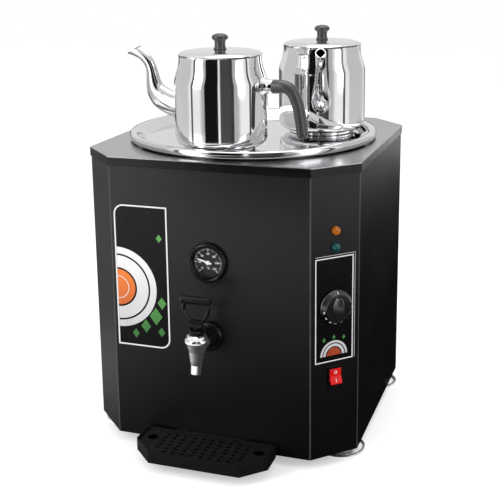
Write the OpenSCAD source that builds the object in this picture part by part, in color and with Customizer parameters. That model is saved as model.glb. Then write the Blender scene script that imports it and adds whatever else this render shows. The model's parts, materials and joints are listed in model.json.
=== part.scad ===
// Octagonal countertop hot water boiler with a lever tap, a dial thermometer, a drip tray
// and a round dished lid on which two teapots stand.
// Millimetres. +Z is up, the tap faces -Y, and the boiler rests on z = 0.

/* [Casing] */
// Width and depth across the flats
casing_w = 450; // [430:1:470]
// Length cut off each side at a vertical corner
corner_cut = 61; // [54:1:68]
// Height from the casing's lower edge to the top of the hob plate
casing_h = 468; // [456:1:500]
// Thickness of the casing sheet
sheet_t = 1; // [0.8:0.1:1.2]
// Width of the lap behind each side seam
seam_lap = 20; // [12:1:28]
// Width of the return folded in along the lower edge
return_w = 16; // [12:1:22]
// Thickness of the base plate
base_t = 1.5; // [1:0.1:2]

/* [Hob plate] */
// Thickness of the stainless hob plate
plate_t = 1.5; // [1:0.1:2]
// Amount by which the hob plate stands out past the casing
overhang = 1.7; // [1.2:0.1:3]
// Height of the rim around the top, hob plate included
rim_h = 14.6; // [12:0.2:20]
// Thickness of the top frame under the hob plate
frame_t = 1.5; // [1:0.1:2]
// Width of the ledge that carries the hob plate
frame_ledge = 24; // [18:1:28]
// Distance from the tank's wall in to the edge of the boiler mouth
mouth_step = 7; // [4:1:14]

/* [Feet] */
// Height of a foot
foot_h = 17; // [15:1:22]
// Diameter of a foot at its rim
foot_d = 82; // [70:1:84]
// Diameter of the flat crown of a foot
foot_crown_d = 34; // [30:1:38]
// Thickness of a foot's spun wall
foot_t = 1.6; // [1.2:0.1:2]
// Distance of a foot's middle from the casing's side face
foot_inset_x = 35; // [33:1:45]
// Distance of a foot's middle from the casing's front or back face
foot_inset_y = 91; // [75:1:105]
// Diameter of a foot's bolt
foot_bolt_d = 8; // [6:1:10]

/* [Water tank] */
// Distance from the tank's wall to the casing's flat faces
tank_inset = 46; // [44:1:48]
// Height of the tank floor above the casing's lower edge
tank_floor = 133; // [128:1:136]
// Thickness of the tank wall
tank_t = 1; // [0.8:0.1:1.2]
// Radius of the tank's lower edge
tank_edge_r = 18; // [12:1:24]
// Width of the flange welded under the hob plate
tank_flange = 15; // [12:1:17]
// Thickness of the insulating jacket
jacket_t = 15; // [12:1:17]

/* [Heating] */
// Diameter of the heating element's ring
element_d = 220; // [200:1:240]
// Diameter of the element's sheath
element_tube_d = 8.5; // [7:0.5:10]
// Height of the ring above the tank floor
element_lift = 27; // [24:1:30]
// Bend radius where the element turns down
element_bend_r = 12; // [10:1:14]
// Angle left open in the ring
element_gap = 34; // [30:1:44]
// Length of a terminal leg below the tank floor
element_leg = 34; // [28:1:40]

/* [Thermometer] */
// Diameter of the bezel
gauge_d = 64; // [60:1:68]
// Height of the gauge above the casing's lower edge
gauge_z = 309; // [300:1:330]
// Amount by which the bezel stands out
gauge_proud = 8; // [7:0.5:9]
// Depth of the case behind the casing
gauge_depth = 17; // [15:1:19]
// Wall of the case
gauge_wall = 1; // [0.8:0.1:1.4]
// Length of the needle from its pivot to its tip
needle_reach = 20; // [16:1:22]
// Diameter of the sensing stem
stem_d = 7; // [6:0.5:8]
// Length of the sensing stem inside the tank
stem_in = 55; // [40:1:80]
// Angle of the resting needle from the upright, counter-clockwise
needle_rest = 73.6; // [0:0.1:134]

/* [Tap] */
// Height of the tap's inlet above the casing's lower edge
tap_z = 189; // [184:1:196]
// Distance of the tap's upright axis from the casing
tap_reach = 54; // [50:1:60]
// Greatest diameter of the tap body
tap_d = 37.4; // [36:0.2:40]
// Diameter of the outlet
outlet_d = 16.6; // [15:0.2:19]
// Bore of the outlet
outlet_bore = 11; // [9:0.5:12]
// Forward lean of the outlet in degrees
outlet_lean = 9; // [4:1:12]
// Length of the outlet below the inlet axis
outlet_drop = 40; // [36:1:46]
// Diameter of the threaded shank
shank_d = 16; // [14:0.5:18]
// Bore of the shank
shank_bore = 9; // [8:0.5:10]
// Diameter of the escutcheon
escutcheon_d = 48; // [42:1:54]
// Diameter of the bonnet
bonnet_d = 23; // [22:0.5:25]
// Diameter of the stem
tap_stem_d = 5; // [4:0.5:6]
// Lift of the stem when the tap is fully open
stem_lift = 4; // [3:0.5:5]
// Diameter of the lever's pivot pin
tap_pin_d = 3; // [2.5:0.5:4]
// Height of the crossbar above the pivot pin
lever_h = 41; // [36:1:48]
// Half of the greatest width of the lever's loop
loop_half = 21.5; // [18:0.5:24]
// Diameter of the loop's rod
loop_rod_d = 5.8; // [5:0.2:6.4]
// Length of the crossbar
bar_len = 49; // [44:1:56]
// Diameter of the crossbar
bar_d = 12.4; // [10:0.2:14]

/* [Drip tray] */
// Width of the drip tray
tray_w = 220; // [190:1:240]
// Distance from the casing to the tray's front
tray_reach = 83; // [78:1:96]
// Height of the tray
tray_h = 20.5; // [18:0.5:26]
// Length cut off each front corner
tray_cut = 35; // [26:1:40]
// Thickness of the tray's wall
tray_t = 1.4; // [1:0.1:2]
// Distance from the casing to the tray's rear wall
tray_gap = 6; // [6:0.5:8]
// Depth of the grid below the rim
grid_drop = 4; // [3:0.5:6]
// Thickness of the grid
grid_t = 1.2; // [1:0.1:1.6]
// Diameter of a drain hole
drain_d = 6.4; // [5:0.2:7]
// Distance between drain holes along the front
drain_pitch_x = 15.4; // [14.4:0.2:16]
// Distance between drain holes front to back
drain_pitch_y = 11; // [10:0.2:11.4]
// Diameter of a finger hole
finger_d = 17; // [15:0.5:18]
// Sideways distance of a finger hole from the middle
finger_x = 90; // [88:1:93]
// Width of the hook and bracket behind the tray
hook_w = 120; // [90:1:150]

/* [Controls] */
// Width of the control plate
control_w = 71; // [68:1:74]
// Height of the control plate
control_h = 172; // [160:1:176]
// Height of the control plate's middle above the casing's lower edge
control_z = 245; // [240:1:248]
// Thickness of both front plates
film_t = 0.8; // [0.6:0.1:1]
// Height of the thermostat knob above the casing's lower edge
knob_z = 247.4; // [244:0.2:252]
// Diameter of the knob's skirt
knob_d = 56; // [50:1:60]
// Height of the skirt's face above the casing
skirt_proud = 12; // [10:0.5:13]
// Diameter of the knob's grip
grip_d = 40; // [36:1:44]
// Height of the grip's ridge above the casing
grip_proud = 27; // [23:0.5:30]
// Diameter of the thermostat shaft
knob_shaft_d = 6; // [5:0.5:7]
// Height of the amber lamp above the casing's lower edge
amber_z = 368.4; // [362:0.2:376]
// Height of the green lamp above the casing's lower edge
green_z = 342.5; // [340:0.5:352]
// Diameter of a lamp's lens
lamp_d = 13.6; // [12:0.2:15]
// Amount by which a lens stands out
lamp_proud = 9; // [7:0.5:11]
// Height of the mains switch above the casing's lower edge
switch_z = 133.8; // [128:0.2:136]
// Width of the switch bezel
switch_w = 25.5; // [24:0.5:27]
// Height of the switch bezel
switch_h = 31; // [30:0.5:33]
// Swing of the rocker from one side to the other in degrees
rocker_swing = 22; // [16:1:26]

/* [Picture plate] */
// Width of the picture plate
picture_w = 92; // [84:1:96]
// Height of the picture plate
picture_h = 236; // [220:1:250]
// Distance from its outer edge to the casing's corner
picture_margin = 5.5; // [4:0.5:10]
// Height of its middle above the casing's lower edge
picture_z = 274.6; // [265:0.2:285]
// Radius of its two rounded corners
picture_r = 17; // [10:1:22]

/* [Rear] */
// Distance by which the cable gland stands out of the back
gland_reach = 20; // [18:1:24]
// Bore of the cable gland
gland_bore = 8.4; // [7:0.2:10]
// Height of the gland above the casing's lower edge
gland_z = 34; // [30:1:44]
// Distance of the gland from the casing's rear corner
gland_margin = 34; // [29:1:64]
// Number of vent slots in each row
vents = 9; // [5:2:11]
// Length of a vent slot
vent_len = 34; // [26:1:40]

/* [Boiler lid] */
// Distance from the lid's rolled rim to the casing's flat faces
lid_margin = 15; // [12:1:17]
// Width of the lid's rising rim
lid_rim_w = 26; // [24:1:28]
// Height of the rim above the hob plate
lid_h = 14; // [12:0.5:16]
// Thickness of the lid's sheet
lid_t = 1.2; // [1:0.1:1.4]
// Height of the rolled rim's lower edge above the hob plate
lid_edge = 4; // [3:0.5:5]
// Depth of the locating ring that hangs in the mouth
locator_h = 12; // [8:1:18]
// Diameter of the steam hole
steam_d = 4; // [3:0.5:5]

/* [Teapots] */
// Diameter of a teapot's body
pot_d = 148; // [144:1:150]
// Height of a teapot up to its mouth
pot_h = 150; // [146:1:156]
// Diameter of the mouth
pot_mouth_d = 131; // [128:1:133]
// Height of the shoulder crease
pot_crease = 107; // [104:1:110]
// Diameter of the foot ring
pot_ring_d = 110; // [104:1:111]
// Height of the foot ring
pot_ring_h = 5; // [4:0.5:6]
// Height at which the sides become straight
pot_side = 23; // [20:1:28]
// Thickness of a teapot's wall
pot_t = 1; // [0.8:0.1:1.2]
// Diameter of a teapot's lid
pot_lid_d = 135; // [134:0.5:136]
// Rise of the lid from its rim to its middle
pot_lid_rise = 7.5; // [6:0.5:10]
// Depth of the lid's inner collar
pot_collar = 9; // [7:1:12]
// Diameter of the lid's knob
pot_knob_d = 26; // [24:0.5:28]
// Height of the lid's knob
pot_knob_h = 25; // [22:1:28]
// Height of the spout's root
spout_z = 64; // [60:1:66]
// Height of the spout's root opening
spout_root_h = 41; // [38:1:42]
// Width of the spout's root opening
spout_root_w = 34; // [30:1:36]
// Distance of the spout's lip from the body
spout_reach = 97; // [92:1:100]
// Height of the spout's tip
spout_tip_z = 154.5; // [148:0.5:158]
// Width of the spout at its tip
spout_tip_w = 16.6; // [14:0.2:18]
// Height of the handle's ferrule
ferrule_z = 103; // [100:1:104]
// Diameter of the ferrule
ferrule_d = 22; // [20:0.5:23]
// Distance of the ferrule's end from the body
ferrule_reach = 17; // [15:1:20]
// Distance of the grip's outer end from the body
grip_reach = 66.5; // [62:0.5:70]
// Height of the grip's free end
grip_end_z = 22; // [20:1:30]
// Distance from a teapot's foot ring to the lid's rising rim
pot_margin = 6; // [4:0.5:9]
// Direction of the front teapot from the lid's middle in degrees from +X
front_pot_dir = -95.6; // [-98:0.2:-92]
// Turn of the front teapot's handle from +X in degrees
front_pot_turn = -6; // [-12:1:0]
// Direction of the rear teapot from the lid's middle in degrees from +X
rear_pot_dir = 32.8; // [30:0.2:36]
// Turn of the rear teapot's handle from +X in degrees
rear_pot_turn = 104; // [100:1:110]

/* [Clearances] */
// Gap between parts that lift off and what they rest on
rest_gap = 0.2; // [0.1:0.05:0.3]
// Gap between parts that slip past each other
slip_gap = 0.3; // [0.2:0.05:0.4]
// Radial gap of a pin or shaft in its bore
pin_gap = 0.05; // [0.03:0.01:0.08]

/* [Hidden] */
$fn = 64;

BLACK = [0.10, 0.10, 0.11];
BAKELITE = [0.22, 0.22, 0.23];
STEEL = [0.78, 0.78, 0.79];
CHROME = [0.86, 0.87, 0.88];
BRASS = [0.76, 0.62, 0.30];
WHITE = [0.92, 0.92, 0.90];

half = casing_w / 2;
// The footprint from the drip tray's front to the gland's end is centred on the origin.
casing_y = (tray_reach - gland_reach) / 2;
top_z = foot_h + casing_h;
frame_top = top_z - plate_t;
shell_top = frame_top - frame_t;
// The side seams run one sheet's thickness behind the front corners
seam_y = corner_cut - half + sheet_t;
base_top = foot_h + base_t;
foot_x = half - foot_inset_x;
foot_y = half - foot_inset_y;
tank_r = half - tank_inset;
mouth_r = tank_r - mouth_step;
floor_z = foot_h + tank_floor;
jacket_r = tank_r + slip_gap + jacket_t;
ring_z = floor_z + element_lift;
eps = 0.01;

// ---- Shared shapes ----

// Corners of an octagon of half width h with corners cut by k
function octagon(h, k) = [
    [h - k, -h], [h, k - h], [h, h - k], [h - k, h],
    [k - h, h], [-h, h - k], [-h, k - h], [k - h, -h]
];

// Corner cut left when every face of the octagon moves in by d
function inset_cut(d) = corner_cut - d * (2 - sqrt(2));

// Arc of n steps about a centre, from angle a to angle b
function arc(c, r, a, b, n = 6) =
    [for (i = [0:n]) let (t = a + (b - a) * i / n) c + r * [cos(t), sin(t)]];

function seg_normal(a, b) = let (d = (b - a) / norm(b - a)) [-d[1], d[0]];

// Mitred normal of a line of points at point i
function mitre(p, i) = let (
    last = len(p) - 1,
    a = max(i - 1, 0),
    b = min(i, last - 1),
    u = seg_normal(p[a], p[a + 1]),
    v = seg_normal(p[b], p[b + 1])
) (u + v) / (1 + u * v);

// Outline of a sheet of thickness t on the left of a line of points
function sheet(p, t) = concat(p, [for (i = [len(p) - 1:-1:0]) p[i] + t * mitre(p, i)]);

// Point at t on a Bezier curve of any degree
function bezier(p, t) = len(p) == 1 ? p[0] :
    bezier([for (i = [0:len(p) - 2]) (1 - t) * p[i] + t * p[i + 1]], t);

function power(v, e) = sign(v) * pow(abs(v), e);

// Ring of n points across a curve in the XZ plane: half width a along Y, half height b, exponent e
function cross_ring(p, t, a, b, e, n) = let (
    c = bezier(p, t),
    d = bezier(p, min(t + 0.01, 1)) - bezier(p, max(t - 0.01, 0)),
    u = [-d[1], d[0]] / norm(d)
) [for (j = [0:n - 1]) let (w = 360 * j / n, s = b * power(cos(w), e))
    [c[0] + s * u[0], -a * power(sin(w), e), c[1] + s * u[1]]];

// Solid through rings of n points each, counter-clockwise when seen from the last ring
module loft(rings) {
    n = len(rings[0]);
    m = len(rings);
    polyhedron(
        points = [for (r = rings) each r],
        faces = concat(
            [[for (j = [0:n - 1]) j]],
            [[for (j = [n - 1:-1:0]) (m - 1) * n + j]],
            [for (i = [0:m - 2], j = [0:n - 1]) let (k = (j + 1) % n)
                each [[i * n + j, (i + 1) * n + j, (i + 1) * n + k],
                    [i * n + j, (i + 1) * n + k, i * n + k]]]
        ),
        convexity = 4
    );
}

module at_casing() {
    translate([0, casing_y, 0]) children();
}

// Local Z points out of the front, local Y is up, the origin lies on the front face
module on_front(x, z) {
    at_casing() translate([x, -half, foot_h + z]) rotate([90, 0, 0]) children();
}

// As on_front, on the right-hand front corner face
module on_corner(z) {
    at_casing() translate([half - corner_cut / 2, corner_cut / 2 - half, foot_h + z])
        rotate([0, 0, 45]) rotate([90, 0, 0]) children();
}

// Local Z points out of the back, local Y is up
module on_back(x, z) {
    at_casing() translate([x, half, foot_h + z]) rotate([90, 0, 180]) children();
}

module slab(inset, z0, z1) {
    translate([0, 0, z0]) linear_extrude(z1 - z0) polygon(octagon(half - inset, inset_cut(inset)));
}

module band(inset, t, z0, z1) {
    difference() {
        slab(inset, z0, z1);
        slab(inset + t, z0 - 1, z1 + 1);
    }
}

module ring(r1, r0, z0, z1) {
    translate([0, 0, z0]) difference() {
        cylinder(r = r1, h = z1 - z0);
        translate([0, 0, -1]) cylinder(r = r0, h = z1 - z0 + 2);
    }
}

module box(x, y, z0, z1) {
    translate([-x / 2, -y / 2, z0]) cube([x, y, z1 - z0]);
}

// Everything in front of the seams, or behind them
module half_space(front) {
    translate([-casing_w, front ? seam_y - casing_w : seam_y, 0]) cube([2 * casing_w, casing_w, 2 * casing_h]);
}

// ---- Casing ----

gland_x = half - corner_cut - gland_margin;
gauge_hole_r = gauge_d / 2 - 3;
shank_r = shank_d / 2;
switch_body_w = switch_w - 4;
switch_body_h = switch_h - 3.4;
lamp_barrel_d = lamp_d - 3;
bushing_d = knob_shaft_d + 4;

module shell_sheet(front) {
    intersection() {
        union() {
            band(0, sheet_t, foot_h, shell_top);
            band(sheet_t / 2, return_w, base_top, base_top + sheet_t);
        }
        half_space(front);
    }
}

module front_shell() {
    color(BLACK) difference() {
        at_casing() union() {
            shell_sheet(true);
            for (s = [-1, 1])
                translate([s * (half - 1.5 * sheet_t), seam_y + (seam_lap - sheet_t) / 2, 0])
                    box(sheet_t, seam_lap + sheet_t, base_top + sheet_t + slip_gap, shell_top - 2);
        }
        on_front(0, gauge_z) cylinder(r = gauge_hole_r, h = 20, center = true);
        on_front(0, tap_z) cylinder(r = shank_r + slip_gap, h = 20, center = true);
        on_corner(amber_z) cylinder(d = lamp_barrel_d + 2 * pin_gap, h = 20, center = true);
        on_corner(green_z) cylinder(d = lamp_barrel_d + 2 * pin_gap, h = 20, center = true);
        on_corner(knob_z) cylinder(d = bushing_d + 2 * pin_gap, h = 20, center = true);
        on_corner(switch_z) box(switch_body_w + slip_gap, switch_body_h + slip_gap, -10, 10);
    }
}

module rear_shell() {
    vent_pitch = 16;
    color(BLACK) difference() {
        at_casing() shell_sheet(false);
        on_back(gland_x, gland_z) cylinder(d = gland_bore + 7.6 + 2 * slip_gap, h = 20, center = true);
        for (z = [90, casing_h - 60], i = [0:vents - 1])
            on_back((i - (vents - 1) / 2) * vent_pitch, z) box(4, vent_len, -10, 10);
    }
}

module base_plate() {
    color(STEEL) difference() {
        at_casing() slab(sheet_t + slip_gap, foot_h, base_top);
        at_casing() for (x = [-foot_x, foot_x], y = [-foot_y, foot_y])
            translate([x, y, 0]) cylinder(d = foot_bolt_d + 2 * pin_gap, h = casing_h, center = true);
        at_casing() for (i = [-4:4])
            translate([i * 18, 0, 0]) box(6, 70, 0, 2 * foot_h + 10);
    }
}

module top_frame() {
    color(BLACK) at_casing() {
        band(-overhang, overhang - slip_gap, top_z - rim_h, shell_top + eps);
        band(-overhang, frame_ledge, shell_top, frame_top);
    }
}

module hob_plate() {
    color(STEEL) at_casing() difference() {
        slab(-overhang, frame_top, top_z);
        cylinder(r = mouth_r, h = 2 * top_z);
    }
}

// ---- Feet ----

foot_r = foot_d / 2;
crown_r = foot_crown_d / 2;
bolt_head = 5.3;
bolt_nut = 6.5;
bolt_end = 11;

module foot(x, y) {
    // Underside of the spun flare, from the crown out to the rolled rim
    flare = concat(
        [[foot_bolt_d / 2 + pin_gap, foot_h - foot_t], [crown_r, foot_h - foot_t]],
        arc([crown_r, foot_h - foot_t - 6], 6, 78, 30, 4),
        [[foot_r - 6, 2.6], [foot_r - 3.4, 1.4]]
    );
    color(CHROME) at_casing() translate([x, y, 0]) rotate_extrude() {
        polygon(sheet(flare, foot_t));
        polygon([
            [foot_r - 4.6, 0], [foot_r - 0.8, 0], [foot_r, 0.9],
            [foot_r - 0.2, 2.4], [foot_r - 1.4, 3.4], [foot_r - 4.4, 3.6]
        ]);
    }
}

module foot_bolts() {
    color(STEEL) at_casing() for (x = [-foot_x, foot_x], y = [-foot_y, foot_y]) translate([x, y, 0]) {
        translate([0, 0, foot_h - foot_t - bolt_head]) cylinder(d = foot_bolt_d * 1.6, h = bolt_head, $fn = 6);
        translate([0, 0, foot_h - foot_t - 1]) cylinder(d = foot_bolt_d, h = base_t + foot_t + bolt_end);
        translate([0, 0, base_top]) cylinder(d = foot_bolt_d * 1.85, h = bolt_nut, $fn = 6);
    }
}

// ---- Tank ----

socket_r = shank_r + 4;
stem_socket_r = stem_d / 2 + 4;
stem_gland_r = stem_socket_r + 1;
stem_gland_at = 10;
stem_gland_h = 8;
well_r = 5;
well_len = 60;
well_z = floor_z + element_lift + 20;
element_r = element_d / 2;
// Half of the angle between the element's legs, whose gap is at the back
leg_turn = element_gap / 2;

module at_element_legs() {
    for (s = [-1, 1]) rotate([0, 0, 90 - s * leg_turn])
        translate([element_r, s * element_bend_r, ring_z]) children();
}

module tank() {
    wall = concat(
        [[0, floor_z - tank_t], [tank_r - tank_edge_r, floor_z - tank_t]],
        arc([tank_r - tank_edge_r, floor_z - tank_t + tank_edge_r], tank_edge_r, -75, 0, 5),
        [[tank_r, frame_top - tank_t], [tank_r + tank_flange, frame_top - tank_t]]
    );
    socket_end = half - 12;
    color(STEEL) difference() {
        union() {
            at_casing() rotate_extrude() polygon(sheet(wall, tank_t));
            // Threaded socket for the tap, socket for the thermometer's stem
            on_front(0, tap_z) translate([0, 0, -half + tank_r - 1.6])
                cylinder(r = socket_r, h = socket_end - tank_r + 1.6);
            on_front(0, gauge_z) translate([0, 0, -tank_inset - 1.4])
                cylinder(r = stem_socket_r, h = stem_gland_at + 1.4);
            // Closed well for the thermostat's bulb
            at_casing() translate([0, 0, well_z]) rotate([0, 0, -45]) rotate([0, 90, 0])
                translate([0, 0, tank_r - well_len]) cylinder(r = well_r, h = well_len + 4);
        }
        on_front(0, tap_z) cylinder(r = shank_r + pin_gap, h = 2 * (half - tank_r + 20), center = true);
        on_front(0, gauge_z) cylinder(r = stem_d / 2 + pin_gap, h = 2 * (half - tank_r + 20), center = true);
        at_casing() translate([0, 0, well_z]) rotate([0, 0, -45]) rotate([0, 90, 0])
            translate([0, 0, tank_r - well_len + 1]) cylinder(r = well_r - 1, h = well_len + 10);
        at_casing() at_element_legs() translate([0, 0, -element_lift - 10])
            cylinder(d = element_tube_d + 2 * pin_gap, h = 14);
    }
}

module insulation_jacket() {
    color("khaki") difference() {
        at_casing() ring(jacket_r, tank_r + slip_gap, floor_z + 20, frame_top - rim_h - 6);
        on_front(0, tap_z) cylinder(r = socket_r + slip_gap, h = 2 * (half - tank_r + 10), center = true);
        on_front(0, gauge_z) cylinder(r = stem_gland_r + slip_gap, h = 2 * (half - tank_r + 10), center = true);
        at_casing() translate([0, 0, well_z]) rotate([0, 0, -45]) rotate([0, 90, 0])
            cylinder(r = well_r + slip_gap, h = half * 2);
    }
}

// ---- Heating ----

// Ring of the sheath where the element stands at angle w and bends down by b degrees towards side s
function sheath_ring(w, s, b, drop) = let (
    radial = [cos(w), sin(w), 0],
    out = s * [-sin(w), cos(w), 0],
    up = sin(b) * out + [0, 0, cos(b)],
    c = element_r * radial + element_bend_r * sin(b) * out
        + [0, 0, ring_z - element_bend_r * (1 - cos(b)) - drop]
) [for (j = [0:13]) let (v = -360 * j / 14) c + element_tube_d / 2 * (cos(v) * radial + sin(v) * up)];

module heating_element() {
    leg = element_lift - element_bend_r + element_leg;
    first = 90 + leg_turn;
    last = 450 - leg_turn;
    color(STEEL) at_casing() loft(concat(
        [sheath_ring(first, -1, 90, leg)],
        [for (i = [5:-1:1]) sheath_ring(first, -1, 18 * i, 0)],
        [for (i = [0:40]) sheath_ring(first + (last - first) * i / 40, 1, 0, 0)],
        [for (i = [1:5]) sheath_ring(last, 1, 18 * i, 0)],
        [sheath_ring(last, 1, 90, leg)]
    ));
}

module element_nuts() {
    color(BRASS) at_casing() at_element_legs() translate([0, 0, -element_lift]) {
        for (z = [0, -tank_t - 7]) translate([0, 0, z]) difference() {
            cylinder(d = element_tube_d + 9, h = 7, $fn = 6);
            translate([0, 0, -1]) cylinder(d = element_tube_d + 2 * pin_gap, h = 9);
        }
    }
}

module limit_thermostat() {
    color(BAKELITE) at_casing() translate([0, 60, floor_z - tank_t - 11]) {
        cylinder(d = 17, h = 8);
        translate([0, 0, 8]) cylinder(d = 24, h = 3);
        for (x = [-5, 5]) translate([x, 0, 0]) box(0.8, 6.3, -8, 0.5);
    }
}

// ---- Thermometer ----

bezel_r = gauge_d / 2;
case_r = gauge_hole_r - slip_gap;
dial_z = -1;
glass_z = gauge_proud - 3.6;
glass_t = 1.6;
glass_r = bezel_r - 4;
movement_r = 9;
arbor_r = 1;

module gauge_case() {
    cup = [
        [0, -gauge_depth], [case_r - 2, -gauge_depth], [case_r, 2 - gauge_depth],
        [case_r, 0], [bezel_r - 1.4, 0]
    ];
    color(STEEL) on_front(0, gauge_z) difference() {
        union() {
            rotate_extrude() polygon(sheet(cup, gauge_wall));
            cylinder_between(movement_r, -gauge_depth + gauge_wall - eps, dial_z - 0.8);
        }
        cylinder_between(arbor_r + pin_gap, -6, 10);
    }
}

module cylinder_between(r, z0, z1) {
    translate([0, 0, z0]) cylinder(r = r, h = z1 - z0);
}

module gauge_bezel() {
    color(BLACK) on_front(0, gauge_z) rotate_extrude() polygon(concat(
        [[glass_r + pin_gap, gauge_wall], [bezel_r, gauge_wall]],
        arc([bezel_r - 4.5, gauge_proud - 4.5], 4.5, 0, 90, 5),
        [[bezel_r - 6.5, gauge_proud - 0.5], [bezel_r - 7, glass_z + glass_t], [glass_r + pin_gap, glass_z + glass_t]]
    ));
}

module gauge_glass() {
    color([0.8, 0.85, 0.9, 0.4]) on_front(0, gauge_z) cylinder_between(glass_r, glass_z, glass_z + glass_t);
}

module gauge_dial() {
    color(BLACK) on_front(0, gauge_z) difference() {
        cylinder_between(case_r - gauge_wall - 0.2, dial_z - 0.8, dial_z);
        cylinder_between(arbor_r + pin_gap, -6, 10);
    }
}

module gauge_needle() {
    color(WHITE) on_front(0, gauge_z) rotate([0, 0, needle_rest]) {
        translate([0, 0, 0.4]) linear_extrude(0.7)
            polygon([[-1.5, -6], [1.5, -6], [0.9, needle_reach - 5], [0, needle_reach], [-0.9, needle_reach - 5]]);
        cylinder_between(3.2, 0.2, 2.2);
        cylinder_between(arbor_r, -5, 1);
    }
}

module gauge_stem() {
    color(BRASS) on_front(0, gauge_z) {
        cylinder_between(stem_d / 2, -tank_inset - stem_in, -gauge_depth);
        translate([0, 0, stem_gland_at - tank_inset]) cylinder(r = stem_gland_r, h = stem_gland_h, $fn = 6);
    }
}

// ---- Tap ----
// Local frame of the tap: Z is up, the origin is where the inlet axis meets the upright axis

module at_tap() {
    at_casing() translate([0, -half - tap_reach, foot_h + tap_z]) children();
}

tap_r = tap_d / 2;
outlet_bore_r = outlet_bore / 2;
// Where the outlet's bore opens into the cup, measured down its own axis
throat = 11;
bonnet_r = bonnet_d / 2;
outlet_r = outlet_d / 2;
cup_top = 23;
cup_bore_r = bonnet_r - 1.6;
seat_z = -8;
bonnet_top = cup_top + 7;
pin_z = bonnet_top + 6;
tongue_half = 3.6;
spring_top = cup_top - 6;
spring_foot = seat_z + 9;
collar_y = tap_reach - 26;

module tap_escutcheon() {
    r = escutcheon_d / 2;
    color(BLACK) on_front(0, tap_z) rotate_extrude() polygon(concat(
        [[shank_r + slip_gap, 0], [r, 0], [r, 5]],
        arc([r - 4, 5], 4, 15, 90, 4),
        [[r - 8, 9], [shank_r + 8, 12], [shank_r + 5, collar_y - 1], [shank_r + 3.4, collar_y], [shank_r + slip_gap, collar_y]]
    ));
}

module tap_nut() {
    color(BRASS) on_front(0, tap_z) translate([0, 0, -sheet_t - 8]) difference() {
        cylinder(d = shank_d * 1.75, h = 8, $fn = 6);
        translate([0, 0, -1]) cylinder(r = shank_r + pin_gap, h = 10);
    }
}

// Outside of the cup, from the bonnet's seat down to its waist
module tap_outside() {
    rotate_extrude() polygon(concat(
        [[0, cup_top], [bonnet_r + 0.6, cup_top], [bonnet_r + 3.2, cup_top - 1.6]],
        arc([tap_r - 8, cup_top - 11], 8, 55, 0, 4),
        [[tap_r - 0.8, 9.6], [tap_r - 3, 8.2], [tap_r - 4.2, 2], [tap_r - 7, -8], [0, -8]]
    ));
    // Leaning outlet
    rotate([-outlet_lean, 0, 0]) rotate_extrude() polygon([
        [0, 1], [tap_r - 4.6, 1], [tap_r - 6.4, -6], [outlet_r + 1.6, -20],
        [outlet_r, -26], [outlet_r, 1 - outlet_drop], [outlet_r - 0.8, -outlet_drop], [0, -outlet_drop]
    ]);
    // Inlet neck and threaded shank
    rotate([-90, 0, 0]) cylinder(r = shank_r + 3, h = tap_reach - collar_y - slip_gap);
    rotate([-90, 0, 0]) cylinder(r = shank_r, h = tap_reach + half - tank_r - 2);
}

module tap_body() {
    color(CHROME) at_tap() difference() {
        tap_outside();
        translate([0, 0, seat_z]) cylinder(r = cup_bore_r, h = 60);
        rotate([-90, 0, 0]) cylinder(d = shank_bore, h = tap_reach + half);
        rotate([-outlet_lean, 0, 0]) {
            translate([0, 0, -outlet_drop - 1]) cylinder(r = outlet_bore_r, h = outlet_drop);
            translate([0, 0, -throat]) cylinder(r = outlet_bore_r + 1, h = throat + seat_z + 2);
        }
    }
}

module tap_bonnet() {
    color(BLACK) at_tap() difference() {
        union() {
            rotate_extrude() polygon([
                [0, cup_top - 6], [cup_bore_r - pin_gap, cup_top - 6], [cup_bore_r - pin_gap, cup_top],
                [bonnet_r, cup_top], [bonnet_r, bonnet_top - 2], [bonnet_r - 2, bonnet_top], [0, bonnet_top]
            ]);
            // Upright tongue between the lever's cheeks
            rotate([0, 90, 0]) translate([-pin_z, 0, -tongue_half]) cylinder(r = 4.6, h = 2 * tongue_half);
            box(2 * tongue_half, 9.2, bonnet_top - 1, pin_z);
        }
        translate([0, 0, cup_top - 7])
            cylinder(d = tap_stem_d + 2 * pin_gap, h = bonnet_top - cup_top + 6.2 + stem_lift);
        rotate([0, 90, 0]) translate([-pin_z, 0, -20]) cylinder(d = tap_pin_d + 2 * pin_gap, h = 40);
    }
}

module tap_stem() {
    color(STEEL) at_tap() {
        cylinder_between(tap_stem_d / 2, seat_z + 4, bonnet_top - 1.2);
        cylinder_between(tap_stem_d / 2 + 3.6, spring_foot - 1.6, spring_foot);
    }
}

module tap_seat() {
    color(WHITE) at_tap() difference() {
        rotate_extrude() polygon([
            [0, seat_z + 0.1], [outlet_bore_r + 3.2, seat_z + 0.1], [outlet_bore_r + 3.4, seat_z + 2],
            [outlet_bore_r, spring_foot - 1.6], [0, spring_foot - 1.6]
        ]);
        cylinder_between(tap_stem_d / 2, seat_z + 4, 40);
    }
}

module tap_spring() {
    turns = 5;
    steps = 16;
    wire = 0.6;
    coil_r = tap_stem_d / 2 + 2.6;
    color(STEEL) at_tap() loft([for (i = [0:turns * steps]) let (
        w = 360 * i / steps,
        z = spring_foot + wire + (spring_top - spring_foot - 2 * wire) * i / (turns * steps)
    ) [for (j = [0:5]) let (v = -60 * j, r = coil_r + wire * cos(v)) [r * cos(w), r * sin(w), z + wire * sin(v)]]]);
}

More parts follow.
